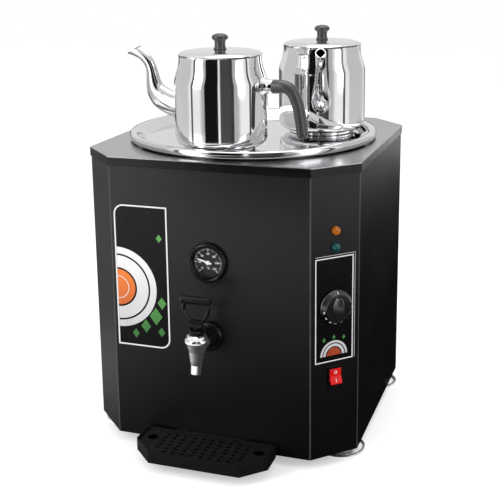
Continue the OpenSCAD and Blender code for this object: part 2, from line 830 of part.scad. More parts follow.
module tap_lever() {
    cheek = bonnet_r - 2 - tongue_half;
    // From the fork up one side of the loop, which is widest above its middle
    path = [[8, 2], [11, lever_h * 0.34], [loop_half + 7, lever_h * 0.5], [bar_len / 2 - 9, lever_h]];
    color(BLACK) at_tap() translate([0, 0, pin_z]) difference() {
        union() {
            for (s = [-1, 1]) {
                mirror([s < 0 ? 1 : 0, 0, 0]) loft([for (i = [0:12])
                    cross_ring(path, i / 12, loop_rod_d / 2 + 0.3, loop_rod_d / 2, 1, 14)]);
                // Cheeks of the fork
                translate([s > 0 ? tongue_half + pin_gap * 2 : -tongue_half - pin_gap * 2 - cheek, 0, 0])
                    rotate([0, 90, 0]) cylinder(r = 5.4, h = cheek);
            }
            // Bridge over the tongue
            box(2 * (tongue_half + cheek), 8, 5.2, 9);
            // Crossbar with rounded ends
            translate([0, 0, lever_h]) rotate([0, 90, 0]) rotate_extrude() polygon(concat(
                [[0, -bar_len / 2]],
                arc([bar_d / 2 - 3, 3 - bar_len / 2], 3, -90, 0, 4),
                arc([bar_d / 2 - 3, bar_len / 2 - 3], 3, 0, 90, 4),
                [[0, bar_len / 2]]
            ));
        }
        rotate([0, 90, 0]) cylinder(d = tap_pin_d + 2 * pin_gap, h = 60, center = true);
    }
}

module tap_pin() {
    color(STEEL) at_tap() translate([0, 0, pin_z]) rotate([0, 90, 0])
        cylinder(d = tap_pin_d, h = 2 * bonnet_r - 4.4, center = true);
}

// ---- Drip tray ----
// Plan outline of the tray at a distance d inside its outer face

tray_front = -half - tray_reach;
tray_back = -half - tray_gap;
tray_top = foot_h + tray_h;
grid_top = tray_top - grid_drop;
hook_t = 1.2;
hook_h = 10;

function tray_plan(d) = let (k = tray_cut - d * (2 - sqrt(2)), w = tray_w / 2 - d) [
    [-w, tray_back - d], [-w, tray_front + d + k], [k - w, tray_front + d],
    [w - k, tray_front + d], [w, tray_front + d + k], [w, tray_back - d]
];

module tray_block(d, z0, z1) {
    translate([0, 0, z0]) linear_extrude(z1 - z0) polygon(tray_plan(d));
}

module drip_tray() {
    color(BLACK) at_casing() {
        difference() {
            tray_block(0, foot_h, tray_top);
            tray_block(tray_t, foot_h + tray_t, tray_top + 1);
        }
        // Hook folded back from the rear wall
        translate([0, tray_back + 2.25, 0]) {
            translate([0, -0.3, 0]) box(hook_w, 5.1, tray_top - hook_t, tray_top);
            translate([0, 1.65, 0]) box(hook_w, hook_t, tray_top - hook_h, tray_top);
        }
    }
}

module tray_bracket() {
    y0 = -half;
    color(STEEL) at_casing() {
        translate([0, y0 - hook_t / 2, 0]) box(hook_w - 6, hook_t, foot_h + 1, foot_h + 7);
        translate([0, y0 - tray_gap / 2 + 0.7, 0]) box(hook_w - 6, tray_gap - 1.4, foot_h + 5.8, foot_h + 7);
        translate([0, tray_back + 1.35, 0]) box(hook_w - 6, hook_t, foot_h + 5.8, tray_top - hook_t - rest_gap);
        for (x = [-hook_w / 3, hook_w / 3]) translate([x, y0 - 2.2, foot_h + 3.4])
            rotate([-90, 0, 0]) cylinder(d = 4, h = 2.2 - hook_t / 2);
    }
}

module drip_grid() {
    plan = 0.4;
    cols = [9, 9, 9, 9, 9, 7];
    color(BLACK) at_casing() difference() {
        union() {
            tray_block(tray_t + plan, grid_top - grid_t, grid_top);
            // Folded legs that stand on the tray's floor
            for (s = [-1, 1]) translate([s * (tray_w / 2 - tray_t - plan - grid_t / 2), tray_back - tray_reach * 0.27, 0])
                box(grid_t, tray_reach * 0.36, foot_h + tray_t + rest_gap, grid_top - grid_t / 2);
        }
        for (j = [0:5], i = [0:cols[j]])
            translate([(i - cols[j] / 2) * drain_pitch_x, -half - 15 - j * drain_pitch_y, grid_top - 3])
                cylinder(d = drain_d, h = 6, $fn = 24);
        for (s = [-1, 1]) translate([s * finger_x, -half - 30, grid_top - 3]) cylinder(d = finger_d, h = 6);
    }
}

// ---- Lamps, plates and controls ----

module lamp(z) {
    r = lamp_d / 2;
    on_corner(z) rotate_extrude() polygon(concat(
        [[0, -14], [lamp_barrel_d / 2, -14], [lamp_barrel_d / 2, 0], [r, 0], [r, 2]],
        [for (i = [1:6]) [r * cos(i * 15), 2 + (lamp_proud - 2) * sin(i * 15)]]
    ));
}

module amber_lamp() {
    color([0.95, 0.45, 0.05]) lamp(amber_z);
}

module green_lamp() {
    color([0.02, 0.42, 0.36]) lamp(green_z);
}

module control_plate() {
    color(BLACK) difference() {
        on_corner(control_z) box(control_w, control_h, 0, film_t);
        on_corner(knob_z) cylinder(d = bushing_d + 2 * pin_gap, h = 10, center = true);
    }
}

module picture_plate() {
    w = picture_w / 2;
    h = picture_h / 2;
    picture_x = half - corner_cut - picture_margin - w;
    color(BLACK) on_front(-picture_x, picture_z) linear_extrude(film_t) polygon(concat(
        [[-w, -h]],
        arc([w - picture_r, picture_r - h], picture_r, -90, 0, 8),
        [[w, h]],
        arc([picture_r - w, h - picture_r], picture_r, 90, 180, 8)
    ));
}

thermostat_w = 42;
thermostat_h = 44;
thermostat_depth = 30;
saddle_w = 56;
saddle_h = 20;

module thermostat_body() {
    color(BAKELITE) on_corner(knob_z) difference() {
        union() {
            box(thermostat_w, thermostat_h, -sheet_t - thermostat_depth, -sheet_t - 6);
            cylinder_between(bushing_d / 2, -sheet_t - 7, film_t + 1);
            // Steel saddle screwed behind the casing
            box(saddle_w, saddle_h, -sheet_t - 6.5, -sheet_t - 5);
            for (s = [-1, 1]) translate([s * (saddle_w - 3) / 2, 0, 0]) box(3, saddle_h, -sheet_t - 5.5, -sheet_t);
        }
        cylinder_between(knob_shaft_d / 2 + pin_gap, -sheet_t - 20, 20);
    }
}

module thermostat_bulb() {
    corner_d = (casing_w - corner_cut) / sqrt(2);
    pipe_r = 1.2;
    bend = 10;
    drop_r = corner_d - sheet_t - 18;
    start_z = foot_h + knob_z - thermostat_h / 2;
    color("peru") at_casing() rotate([0, 0, -45]) {
        translate([drop_r, 0, well_z + bend]) cylinder(r = pipe_r, h = start_z - well_z - bend);
        translate([drop_r - bend, 0, well_z + bend]) rotate([90, 0, 0]) rotate([0, 0, -90])
            rotate_extrude(angle = 90) translate([bend, 0]) circle(pipe_r);
        translate([tank_r - 8, 0, well_z]) rotate([0, 90, 0]) cylinder(r = pipe_r, h = drop_r - bend - tank_r + 8);
        translate([tank_r - well_len + 3, 0, well_z]) rotate([0, 90, 0]) cylinder(r = well_r - 1.3, h = well_len - 10);
    }
}

module thermostat_knob() {
    r = knob_d / 2;
    g = grip_d / 2;
    foot = film_t + 1.2;
    leaf_r = 1.5 * g;
    leaf_off = 0.93 * g;
    color(BAKELITE) on_corner(knob_z) {
        // Dished skirt
        rotate_extrude() polygon([
            [0, skirt_proud - 3], [g, skirt_proud - 4.5], [r - 1.6, foot], [r, foot], [r, foot + 1.6],
            [r - 1.5, foot + 3.4], [g + 3.6, skirt_proud - 1.4], [g + 2, skirt_proud], [0, skirt_proud]
        ]);
        // Leaf-shaped ridge of the grip, cut from a dome
        intersection() {
            rotate_extrude() polygon(concat([[0, skirt_proud - 1], [g, skirt_proud - 1]],
                [for (i = [0:6]) [g * cos(i * 15), skirt_proud + (grip_proud - skirt_proud) * sin(i * 15)]]));
            rotate([90, 0, 0]) translate([0, 0, -g]) linear_extrude(2 * g) polygon([
                [-g * 0.75, skirt_proud - 1], [g * 0.75, skirt_proud - 1], [g * 0.6, skirt_proud + 1],
                [1.4, grip_proud], [-1.4, grip_proud], [-g * 0.6, skirt_proud + 1]
            ]);
            translate([-leaf_off, 0, 0]) cylinder(r = leaf_r, h = grip_proud + 1);
            translate([leaf_off, 0, 0]) cylinder(r = leaf_r, h = grip_proud + 1);
        }
        // Hub around the shaft
        cylinder_between(knob_shaft_d / 2 + 3, film_t + 1.6, skirt_proud);
        cylinder_between(knob_shaft_d / 2, -sheet_t - 18, skirt_proud);
    }
}

// Height of the rocker's pivot above the casing
rocker_z = -0.5;
rocker_w = switch_w - 6;
trunnion_r = 1.2;
trunnion_len = switch_body_w - 0.2;

module switch_housing() {
    color(BLACK) on_corner(switch_z) difference() {
        union() {
            box(switch_w, switch_h, 0, 2.2);
            box(switch_body_w, switch_body_h, -20, 0.5);
            for (x = [-6, 6]) translate([x, 0, 0]) box(0.8, 6.3, -28, -19);
        }
        box(rocker_w + 2 * slip_gap, switch_h - 5.4, -9, 3);
        // Seats of the rocker's trunnions
        translate([0, 0, rocker_z]) rotate([0, 90, 0])
            cylinder(r = trunnion_r + pin_gap, h = trunnion_len + 0.6, center = true);
    }
}

module switch_rocker() {
    h = (switch_h - 6.4) / 2;
    color("red") on_corner(switch_z) translate([0, 0, rocker_z]) rotate([-rocker_swing / 2, 0, 0]) {
        rotate([90, 0, 90]) linear_extrude(rocker_w, center = true) polygon(concat(
            [[-h, 5.7], [-h * 0.9, 6.3], [0, 3.7], [h * 0.9, 6.3], [h, 5.7]],
            arc([0, 0], 5.6, -20, -160, 8)
        ));
        rotate([0, 90, 0]) cylinder(r = trunnion_r, h = trunnion_len, center = true);
    }
}

// ---- Rear ----

module cable_gland() {
    r = gland_bore / 2;
    color(BLACK) on_back(gland_x, gland_z) difference() {
        union() {
            cylinder_between(r + 3.8, -sheet_t - 9, 1);
            cylinder(r = r + 6.4, h = 5, $fn = 6);
            rotate_extrude() polygon([
                [0, 0], [r + 5.2, 0], [r + 5.2, 14], [r + 3.6, 18], [r + 1.4, gland_reach], [0, gland_reach]
            ]);
            translate([0, 0, -sheet_t - 5]) cylinder(r = r + 6.4, h = 5, $fn = 6);
        }
        cylinder_between(r, -20, gland_reach + 1);
    }
}

module terminal_block() {
    color(WHITE) at_casing() translate([gland_x - 50, half - 60, 0]) difference() {
        box(36, 20, base_top, base_top + 16);
        for (x = [-12, 0, 12]) translate([x, 0, base_top + 7]) rotate([90, 0, 0]) cylinder(d = 4, h = 30, center = true);
    }
}

// ---- Boiler lid ----

lid_z = top_z + rest_gap;
lid_top = lid_z + lid_t;
rim_r = half - lid_margin;
floor_r = rim_r - lid_rim_w;

module boiler_lid() {
    crest_z = top_z + lid_h - lid_t;
    // Underside of the sheet, from the middle out and over the rolled rim
    line = concat(
        [[0, lid_z], [floor_r - 2, lid_z], [floor_r + 1, lid_z + 1]],
        [[rim_r - 12, crest_z - 1.6], [rim_r - 10, crest_z - 0.4]],
        [[rim_r - 8, crest_z], [rim_r - 5.4, crest_z - 0.2]],
        arc([rim_r - lid_t - 3.6, crest_z - 3.8], 3.6, 60, 0, 3),
        [[rim_r - lid_t, top_z + lid_edge + 1], [rim_r - lid_t - 1, top_z + lid_edge]]
    );
    color(STEEL) at_casing() difference() {
        rotate_extrude() polygon(sheet(line, lid_t));
        rotate([0, 0, 199]) translate([floor_r + 7, 0, top_z]) cylinder(d = steam_d, h = 30);
    }
}

module lid_locator() {
    r = mouth_r - 3;
    color(STEEL) at_casing() rotate_extrude() polygon(sheet(
        [[r - 10, lid_z - lid_t], [r, lid_z - lid_t], [r, lid_z - locator_h]], lid_t));
}

// ---- Teapots ----
// Local frame of a teapot: the foot ring stands on z = 0, the handle points along +X

pot_r = pot_d / 2;
pot_mouth_r = pot_mouth_d / 2;
pot_ring_r = pot_ring_d / 2;
pot_lid_z = pot_h + rest_gap;

// Stands a teapot on the lid in direction dir from the middle, with its handle turned to angle turn
module at_pot(dir, turn) {
    reach = floor_r - pot_margin - pot_ring_r;
    at_casing() translate([reach * cos(dir), reach * sin(dir), lid_top + rest_gap]) rotate([0, 0, turn]) children();
}

function pot_wall() = let (
    base = [pot_ring_r, pot_ring_h],
    side = [pot_r, pot_side],
    crease = [pot_r, pot_crease],
    neck = [pot_mouth_r, pot_h - 10]
) concat(
    [[0, pot_ring_h - 2], [pot_ring_r - 6, pot_ring_h - 2], [pot_ring_r - 5, 0], [pot_ring_r - 1, 0]],
    [[pot_ring_r, 1.2], [pot_ring_r - 0.6, pot_ring_h - 0.8], base + [1, 0]],
    [for (i = [0:5]) bezier([base + [5, 0.6], [pot_r - 3, pot_ring_h + 2.4], side + [0, -9], side], i / 5)],
    [for (i = [0:7]) bezier([crease, crease + [-0.8, 8], neck + [2.6, -14], neck], i / 7)],
    [[pot_mouth_r, pot_h - 2], [pot_mouth_r + 0.6, pot_h]]
);

module pot_body() {
    color(CHROME) difference() {
        rotate_extrude() polygon(sheet(pot_wall(), pot_t));
        translate([-pot_r, 0, spout_z]) rotate([0, 90, 0]) cylinder(d = spout_root_w - 8, h = 24, center = true);
    }
}

// Axis of the spout, with stations of its half width and half height
function spout_path() = [
    [12 - pot_r, spout_z - 3], [-pot_r - 82, spout_z + 12], [-pot_r - 34, spout_z + 48],
    [-pot_r - spout_reach * 0.45, spout_tip_z - 9], [-pot_r - spout_reach + 1, spout_tip_z]
];

function spout_ring(t, wall) = cross_ring(spout_path(), t,
    lookup(t, [[0, spout_root_w / 2], [0.2, spout_root_w * 0.43], [0.45, spout_tip_w * 0.6], [0.62, spout_tip_w / 2], [1, spout_tip_w / 2]]) - wall,
    lookup(t, [[0, spout_root_h / 2], [0.2, spout_root_h * 0.46], [0.45, spout_tip_w * 0.7], [0.62, spout_tip_w * 0.52], [1, spout_tip_w * 0.54]]) - wall,
    lookup(t, [[0, 1], [0.5, 1], [1, 1.3]]), 20);

module pot_spout() {
    steps = 20;
    lip = [-pot_r - spout_reach, spout_tip_z - 9.5];
    cutter = spout_reach * 0.62;
    color(CHROME) difference() {
        loft([for (i = [0:steps]) spout_ring(i / steps, 0)]);
        loft([for (i = [-1:steps + 1]) spout_ring(i / steps, pot_t)]);
        cylinder(r = pot_r + pin_gap, h = 2 * pot_h, center = true);
        // Slanting mouth
        translate([lip[0], 0, lip[1]]) rotate([0, -28, 0]) translate([-cutter, -cutter / 2, -cutter / 3])
            cube([cutter * 1.4, cutter, cutter]);
    }
}

module pot_ferrule() {
    r = ferrule_d / 2;
    color(CHROME) difference() {
        translate([0, 0, ferrule_z]) rotate([0, 90, 0]) rotate_extrude() polygon([
            [0, pot_r - 4], [r + 2.4, pot_r - 4], [r + 2.4, pot_r + 0.6], [r + 1.4, pot_r + 2.6], [r, pot_r + 3.6],
            [r, pot_r + ferrule_reach], [r - 1.2, pot_r + ferrule_reach], [r - 1.2, pot_r + 6], [0, pot_r + 6]
        ]);
        cylinder(r = pot_r + pin_gap, h = 2 * pot_h, center = true);
    }
}

function grip_path() = [
    [pot_r + ferrule_reach + rest_gap, ferrule_z], [pot_r + grip_reach * 0.5, ferrule_z],
    [pot_r + grip_reach * 0.76, ferrule_z + 7], [pot_r + grip_reach * 0.9, ferrule_z - 13],
    [pot_r + grip_reach, grip_end_z]
];

module pot_grip() {
    steps = 16;
    color(BAKELITE) {
        loft([for (i = [0:steps]) let (t = i / steps) cross_ring(grip_path(), t,
            lookup(t, [[0, ferrule_d / 2], [0.3, 11.4], [0.96, 10.6], [1, 8.6]]),
            lookup(t, [[0, ferrule_d / 2], [0.3, 10], [0.5, 9], [0.96, 8.6], [1, 6.6]]), 0.9, 20)]);
        translate([pot_r + 7, 0, ferrule_z]) rotate([0, 90, 0])
            cylinder(r = ferrule_d / 2 - 1.2 - pin_gap, h = ferrule_reach - 4);
    }
}

module pot_lid() {
    r = pot_lid_d / 2;
    // Underside of the lid's sheet, from the middle out to the rim
    line = [
        [0, pot_lid_z + pot_lid_rise - pot_t], [r * 0.5, pot_lid_z + pot_lid_rise - pot_t - 0.6],
        [r - 12, pot_lid_z + pot_lid_rise - pot_t - 1.8], [r - 6, pot_lid_z + pot_lid_rise - pot_t - 3.4],
        [r - 2, pot_lid_z + 1.4], [r - pot_t * 0.6, pot_lid_z]
    ];
    collar_r = pot_mouth_r - pot_t - slip_gap;
    color(CHROME) difference() {
        rotate_extrude() {
            polygon(sheet(line, pot_t));
            polygon([
                [collar_r - pot_t, pot_lid_z - pot_collar], [collar_r, pot_lid_z - pot_collar],
                [collar_r, pot_lid_z + pot_t + 1.7], [collar_r - pot_t, pot_lid_z + pot_t + 1.7]
            ]);
        }
        cylinder(r = 2 + pin_gap, h = 2 * pot_h);
    }
}

module pot_knob() {
    k = pot_knob_d / 2;
    h = pot_knob_h;
    color(BAKELITE) {
        translate([0, 0, pot_lid_z + pot_lid_rise]) rotate_extrude() polygon([
            [0, 0], [k * 0.8, 0], [k * 0.8, 1], [k * 0.68, 2], [k * 0.64, h * 0.5], [k * 0.74, h * 0.6],
            [k * 0.97, h * 0.68], [k, h * 0.76], [k * 0.94, h * 0.84], [k * 0.66, h * 0.95], [k * 0.3, h], [0, h]
        ]);
        // Screw from below with its nut
        cylinder_between(2, pot_lid_z + pot_lid_rise - pot_t - 6, pot_lid_z + pot_lid_rise + 1);
        translate([0, 0, pot_lid_z + pot_lid_rise - pot_t - 3.2]) cylinder(r = 4, h = 3.1, $fn = 6);
    }
}

front_shell();
rear_shell();
base_plate();
top_frame();
hob_plate();
foot(-foot_x, -foot_y);  // foot_front_left
foot(foot_x, -foot_y);  // foot_front_right
foot(-foot_x, foot_y);  // foot_rear_left
foot(foot_x, foot_y);  // foot_rear_right
foot_bolts();
tank();
insulation_jacket();
heating_element();
element_nuts();
limit_thermostat();
gauge_case();
gauge_bezel();
gauge_dial();
gauge_glass();
gauge_needle();
gauge_stem();
tap_escutcheon();
tap_nut();
tap_body();
tap_bonnet();
tap_stem();
tap_seat();
tap_spring();
tap_lever();
tap_pin();
drip_tray();
drip_grid();
tray_bracket();
amber_lamp();
green_lamp();
control_plate();
picture_plate();
thermostat_body();
thermostat_bulb();
thermostat_knob();
switch_housing();
switch_rocker();
cable_gland();
terminal_block();
boiler_lid();
lid_locator();
at_pot(front_pot_dir, front_pot_turn) pot_body();  // front_pot_body
at_pot(front_pot_dir, front_pot_turn) pot_spout();  // front_pot_spout
at_pot(front_pot_dir, front_pot_turn) pot_ferrule();  // front_pot_ferrule
at_pot(front_pot_dir, front_pot_turn) pot_grip();  // front_pot_grip
at_pot(front_pot_dir, front_pot_turn) pot_lid();  // front_pot_lid
at_pot(front_pot_dir, front_pot_turn) pot_knob();  // front_pot_knob
at_pot(rear_pot_dir, rear_pot_turn) pot_body();  // rear_pot_body
at_pot(rear_pot_dir, rear_pot_turn) pot_spout();  // rear_pot_spout
at_pot(rear_pot_dir, rear_pot_turn) pot_ferrule();  // rear_pot_ferrule
at_pot(rear_pot_dir, rear_pot_turn) pot_grip();  // rear_pot_grip
at_pot(rear_pot_dir, rear_pot_turn) pot_lid();  // rear_pot_lid
at_pot(rear_pot_dir, rear_pot_turn) pot_knob();  // rear_pot_knob
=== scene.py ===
"""Looks of a tea boiler urn: materials for its solids, finer pieces where they show, a studio and the camera.

The object is laid out in millimetres, which mesh_of and text_mesh turn into metres. The studio is in metres.
"""

import json
import math

import bmesh
import bpy
from mathutils import Matrix, Vector


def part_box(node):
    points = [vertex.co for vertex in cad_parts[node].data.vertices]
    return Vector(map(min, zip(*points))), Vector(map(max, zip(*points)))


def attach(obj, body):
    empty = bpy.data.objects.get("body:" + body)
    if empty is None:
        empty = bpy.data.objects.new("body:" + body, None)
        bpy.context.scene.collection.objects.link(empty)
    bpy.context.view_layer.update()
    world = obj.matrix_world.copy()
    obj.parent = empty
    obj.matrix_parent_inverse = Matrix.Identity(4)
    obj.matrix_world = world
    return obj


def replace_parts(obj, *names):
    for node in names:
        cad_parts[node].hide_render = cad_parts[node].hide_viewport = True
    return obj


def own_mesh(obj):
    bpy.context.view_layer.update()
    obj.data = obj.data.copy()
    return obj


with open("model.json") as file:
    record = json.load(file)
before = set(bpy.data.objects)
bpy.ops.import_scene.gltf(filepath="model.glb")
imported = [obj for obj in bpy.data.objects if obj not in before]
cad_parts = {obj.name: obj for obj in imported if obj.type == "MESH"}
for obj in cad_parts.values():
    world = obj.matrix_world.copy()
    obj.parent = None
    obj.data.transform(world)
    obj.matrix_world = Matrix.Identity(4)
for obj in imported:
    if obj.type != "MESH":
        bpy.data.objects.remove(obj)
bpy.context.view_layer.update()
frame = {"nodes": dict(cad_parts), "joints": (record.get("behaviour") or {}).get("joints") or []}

MM = 0.001
NODES = frame["nodes"]
JOINTS = {joint["name"]: joint for joint in frame["joints"]}
# Materials by name
MATERIALS = {}


# ---------------------------------------- sizes and places from the frame, in millimetres

def in_mm(place):
    return [round(c / MM, 3) for c in place]


def corners(node):
    """Lowest and highest corner of a CAD node."""
    low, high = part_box(node)
    return in_mm(low), in_mm(high)


def middle(node):
    return [(a + b) / 2 for a, b in zip(*corners(node))]


def joint_place(name):
    return in_mm(JOINTS[name]["pos_m"])


# The casing is an octagon seen from above: half its width, the middle of its depth, its front and its top
HALF = corners("front_shell")[1][0]
FRONT_Y = corners("front_shell")[0][1]
MIDDLE_Y = (FRONT_Y + corners("rear_shell")[1][1]) / 2
HOB_TOP = corners("hob_plate")[1][2]
# The thermostat's axis starts in the middle of the corner face, which gives what the corner cuts off
CORNER_X, CORNER_Y, _ = joint_place("thermostat_turn")
CUT = 2 * (HALF - CORNER_X)
# Where each teapot stands, and the way its spout points, in degrees from -X
POT_PLACE = {pot: middle(f"{pot}_pot_body")[:2] for pot in ("front", "rear")}
POT_TURN = {"front": -6, "rear": 104}


# ---------------------------------------- shader nodes

NOISE = "ShaderNodeTexNoise"
WAVE = "ShaderNodeTexWave"
CELLS = "ShaderNodeTexVoronoi"
# A noise texture's values lie mostly between these two
NOISE_LOW, NOISE_HIGH = 0.3, 0.7
# Height of fine bumps, in metres
FINE = 0.0002


def principled(m):
    return m.node_tree.nodes["Principled BSDF"]


def new_material(name, colour, rough, metal=0.0, **sockets):
    """A material with these values, kept under its name."""
    m = bpy.data.materials.new(name)
    m.use_nodes = True
    inputs = principled(m).inputs
    inputs["Base Color"].default_value = (*colour, 1)
    inputs["Roughness"].default_value = rough
    inputs["Metallic"].default_value = metal
    for key, value in sockets.items():
        inputs[key.replace("_", " ")].default_value = value
    MATERIALS[name] = m
    return m


def math_node(tree, operation, *values):
    """One step of arithmetic on sockets and numbers."""
    node = tree.nodes.new("ShaderNodeMath")
    node.operation = operation
    for socket, value in zip(node.inputs, values):
        if isinstance(value, (int, float)):
            socket.default_value = value
        else:
            tree.links.new(value, socket)
    return node.outputs[0]


def product(tree, parts):
    out = parts[0]
    for part in parts[1:]:
        out = math_node(tree, "MULTIPLY", out, part)
    return out


def ranged(tree, value, start, end, low=0.0, high=1.0, smooth=False):
    """Goes from low to high while the value goes from start to end, and stays there on either side."""
    node = tree.nodes.new("ShaderNodeMapRange")
    if smooth:
        node.interpolation_type = "SMOOTHSTEP"
    for key, number in (("From Min", start), ("From Max", end), ("To Min", low), ("To Max", high)):
        node.inputs[key].default_value = number
    tree.links.new(value, node.inputs["Value"])
    return node.outputs["Result"]


def mixed(tree, share, a, b):
    """Colour a where the share is 0 and colour b where it is 1; each is a tuple or a socket."""
    node = tree.nodes.new("ShaderNodeMix")
    node.data_type = "RGBA"
    tree.links.new(share, node.inputs[0])
    for socket, colour in ((node.inputs[6], a), (node.inputs[7], b)):
        if isinstance(colour, tuple):
            socket.default_value = (*colour, 1)
        else:
            tree.links.new(colour, socket)
    return node.outputs[2]


def object_axes(tree):
    """X, Y and Z of the shaded point in its piece's own coordinates."""
    place = tree.nodes.new("ShaderNodeTexCoord")
    axes = tree.nodes.new("ShaderNodeSeparateXYZ")
    tree.links.new(place.outputs["Object"], axes.inputs[0])
    return axes.outputs


def texture(m, kind, scale, stretch=(1, 1, 1), place=(0, 0, 0), **settings):
    """Value of a noise, wave or cell texture in the piece's own coordinates, with its scale per metre."""
    tree = m.node_tree
    coordinates = tree.nodes.new("ShaderNodeTexCoord")
    mapping = tree.nodes.new("ShaderNodeMapping")
    mapping.inputs["Scale"].default_value = stretch
    mapping.inputs["Location"].default_value = place
    pattern = tree.nodes.new(kind)
    pattern.inputs["Scale"].default_value = scale
    for key, value in settings.items():
        if key in pattern.inputs:
            pattern.inputs[key].default_value = value
        else:
            setattr(pattern, key, value)
    tree.links.new(coordinates.outputs["Object"], mapping.inputs["Vector"])
    tree.links.new(mapping.outputs["Vector"], pattern.inputs["Vector"])
    return next(pattern.outputs[key] for key in ("Fac", "Distance") if key in pattern.outputs)


def vary_colour(m, pattern, a, b):
    tree = m.node_tree
    share = ranged(tree, pattern, NOISE_LOW, NOISE_HIGH)
    tree.links.new(mixed(tree, share, a, b), principled(m).inputs["Base Color"])


def vary_rough(m, pattern, low, high, start=NOISE_LOW, end=NOISE_HIGH):
    tree = m.node_tree
    tree.links.new(ranged(tree, pattern, start, end, low, high), principled(m).inputs["Roughness"])


def add_bump(m, pattern, strength, height):
    """Bumps of this height in metres, on top of any that the material has."""
    tree = m.node_tree
    bump = tree.nodes.new("ShaderNodeBump")
    bump.inputs["Strength"].default_value = strength
    bump.inputs["Distance"].default_value = height
    tree.links.new(pattern, bump.inputs["Height"])
    normal = principled(m).inputs["Normal"]
    if normal.is_linked:
        tree.links.new(normal.links[0].from_socket, bump.inputs["Normal"])
    tree.links.new(bump.outputs["Normal"], normal)


def shaded(colour, share):
    """The colour made darker, or lighter up to white."""
    return tuple(min(c * share, 1) for c in colour)


# ---------------------------------------- materials

def enamel():
    """Black powder coat: fine orange peel, faint dust, a slightly uneven gloss, and a painted highlight along
    the upright edges.
    """
    m = new_material("black_enamel", (0.0016, 0.0016, 0.0018), 0.34, Specular_IOR_Level=0.42)
    vary_colour(m, texture(m, NOISE, 5, Detail=3), (0.0013, 0.0013, 0.0015), (0.0022, 0.0022, 0.0025))
    vary_rough(m, texture(m, NOISE, 9, Detail=3), 0.32, 0.37)
    add_bump(m, texture(m, NOISE, 1400, Detail=2), 0.06, FINE)
    # Painted highlight along the casing's upright edges
    painted_edge_highlight(m, (0.075, 0.075, 0.078), 0.6, 1.7)


def painted_edge_highlight(m, colour, full, gone):
    """Painted highlight: a lighter line along the casing's upright edges, full up to one distance and gone at
    the other.
    """
    tree = m.node_tree
    base = principled(m).inputs["Base Color"]
    axes = object_axes(tree)
    across = math_node(tree, "ABSOLUTE", axes[0])
    deep = math_node(tree, "ABSOLUTE", math_node(tree, "SUBTRACT", axes[1], MIDDLE_Y * MM))
    beyond_face = math_node(tree, "SUBTRACT", math_node(tree, "MAXIMUM", across, deep), HALF * MM)
    beyond_cut = math_node(tree, "SUBTRACT", math_node(tree, "MINIMUM", across, deep), (HALF - CUT) * MM)
    squares = [math_node(tree, "MULTIPLY", side, side) for side in (beyond_face, beyond_cut)]
    distance = math_node(tree, "SQRT", math_node(tree, "ADD", *squares))
    # Share of the painted edge highlight: 1 near an upright edge, 0 away from it
    painted_highlight_share = ranged(tree, distance, full * MM, gone * MM, 1.0, 0.0, smooth=True)
    uneven = ranged(tree, texture(m, NOISE, 24, Detail=4), NOISE_LOW, NOISE_HIGH, 0.55, 1.0)
    share = math_node(tree, "MULTIPLY", painted_highlight_share, uneven)
    tree.links.new(mixed(tree, share, base.links[0].from_socket, colour), base)


def brushed(name, colour, low, high, stretch=(1, 1, 1), scale=260):
    """Metal with a brushed grain, longest along the axis with the smallest stretch."""
    m = new_material(name, colour, 0.3, 1.0)
    grain = texture(m, NOISE, scale, stretch, Detail=3)
    vary_colour(m, grain, shaded(colour, 0.93), colour)
    vary_rough(m, texture(m, NOISE, scale * 0.6, stretch, Detail=4), low, high)
    add_bump(m, grain, 0.03, FINE)


def polished(name, colour, low, high, smear=24, metal=1.0):
    """Polished metal with faint smears, finer with a larger number."""
    m = new_material(name, colour, low, metal)
    vary_colour(m, texture(m, NOISE, 30, Detail=4), shaded(colour, 0.95), colour)
    vary_rough(m, texture(m, NOISE, smear, Detail=6, Roughness=0.6), low, high, 0.35, 0.75)
    return m


def spun(name, colour, low, high, axis, depth):
    """Polished metal with faint turning rings about an upright axis through (x, y)."""
    m = polished(name, colour, low, high)
    place = (-axis[0] * MM, -axis[1] * MM, 0)
    look = {"wave_type": "RINGS", "rings_direction": "Z", "Distortion": 0.6}
    add_bump(m, texture(m, WAVE, 90, (1, 1, 0.02), place, **look), depth, FINE / 2)


def plastic(name, colour, low, high, grain=900, bump=0.05, lift=1.25, specular=0.5):
    """Plastic, rubber or print: a fine grain, with patches lighter by the lift."""
    m = new_material(name, colour, low, Specular_IOR_Level=specular)
    vary_colour(m, texture(m, NOISE, 40, Detail=4), colour, shaded(colour, lift))
    vary_rough(m, texture(m, NOISE, 60, Detail=5), low, high)
    add_bump(m, texture(m, NOISE, grain, Detail=2), bump, FINE)


def lens(name, colour, glow):
    """Coloured lens with a cellular face, and a little light of its own."""
    m = new_material(name, colour, 0.12, IOR=1.5, Transmission_Weight=0.25, Emission_Strength=glow)
    principled(m).inputs["Emission Color"].default_value = (*colour, 1)
    add_bump(m, texture(m, CELLS, 420), 0.5, 3 * FINE)
    vary_colour(m, texture(m, NOISE, 260, Detail=3), shaded(colour, 0.55), colour)


def clear_glass():
    m = new_material("clear_glass", (1, 1, 1), 0.02, IOR=1.12, Transmission_Weight=1.0)
    add_bump(m, texture(m, NOISE, 40, Detail=1), 0.02, FINE)


def graded(name, a, b, low, high):
    """Ink that fades upwards from colour a to colour b between two heights."""
    m = new_material(name, a, 0.35)
    tree = m.node_tree
    rise = ranged(tree, object_axes(tree)[2], low * MM, high * MM)
    share = math_node(tree, "MULTIPLY_ADD", texture(m, NOISE, 90, Detail=4), 0.25, rise)
    tree.links.new(mixed(tree, share, a, b), principled(m).inputs["Base Color"])
    vary_rough(m, texture(m, NOISE, 60, Detail=3), 0.3, 0.42)


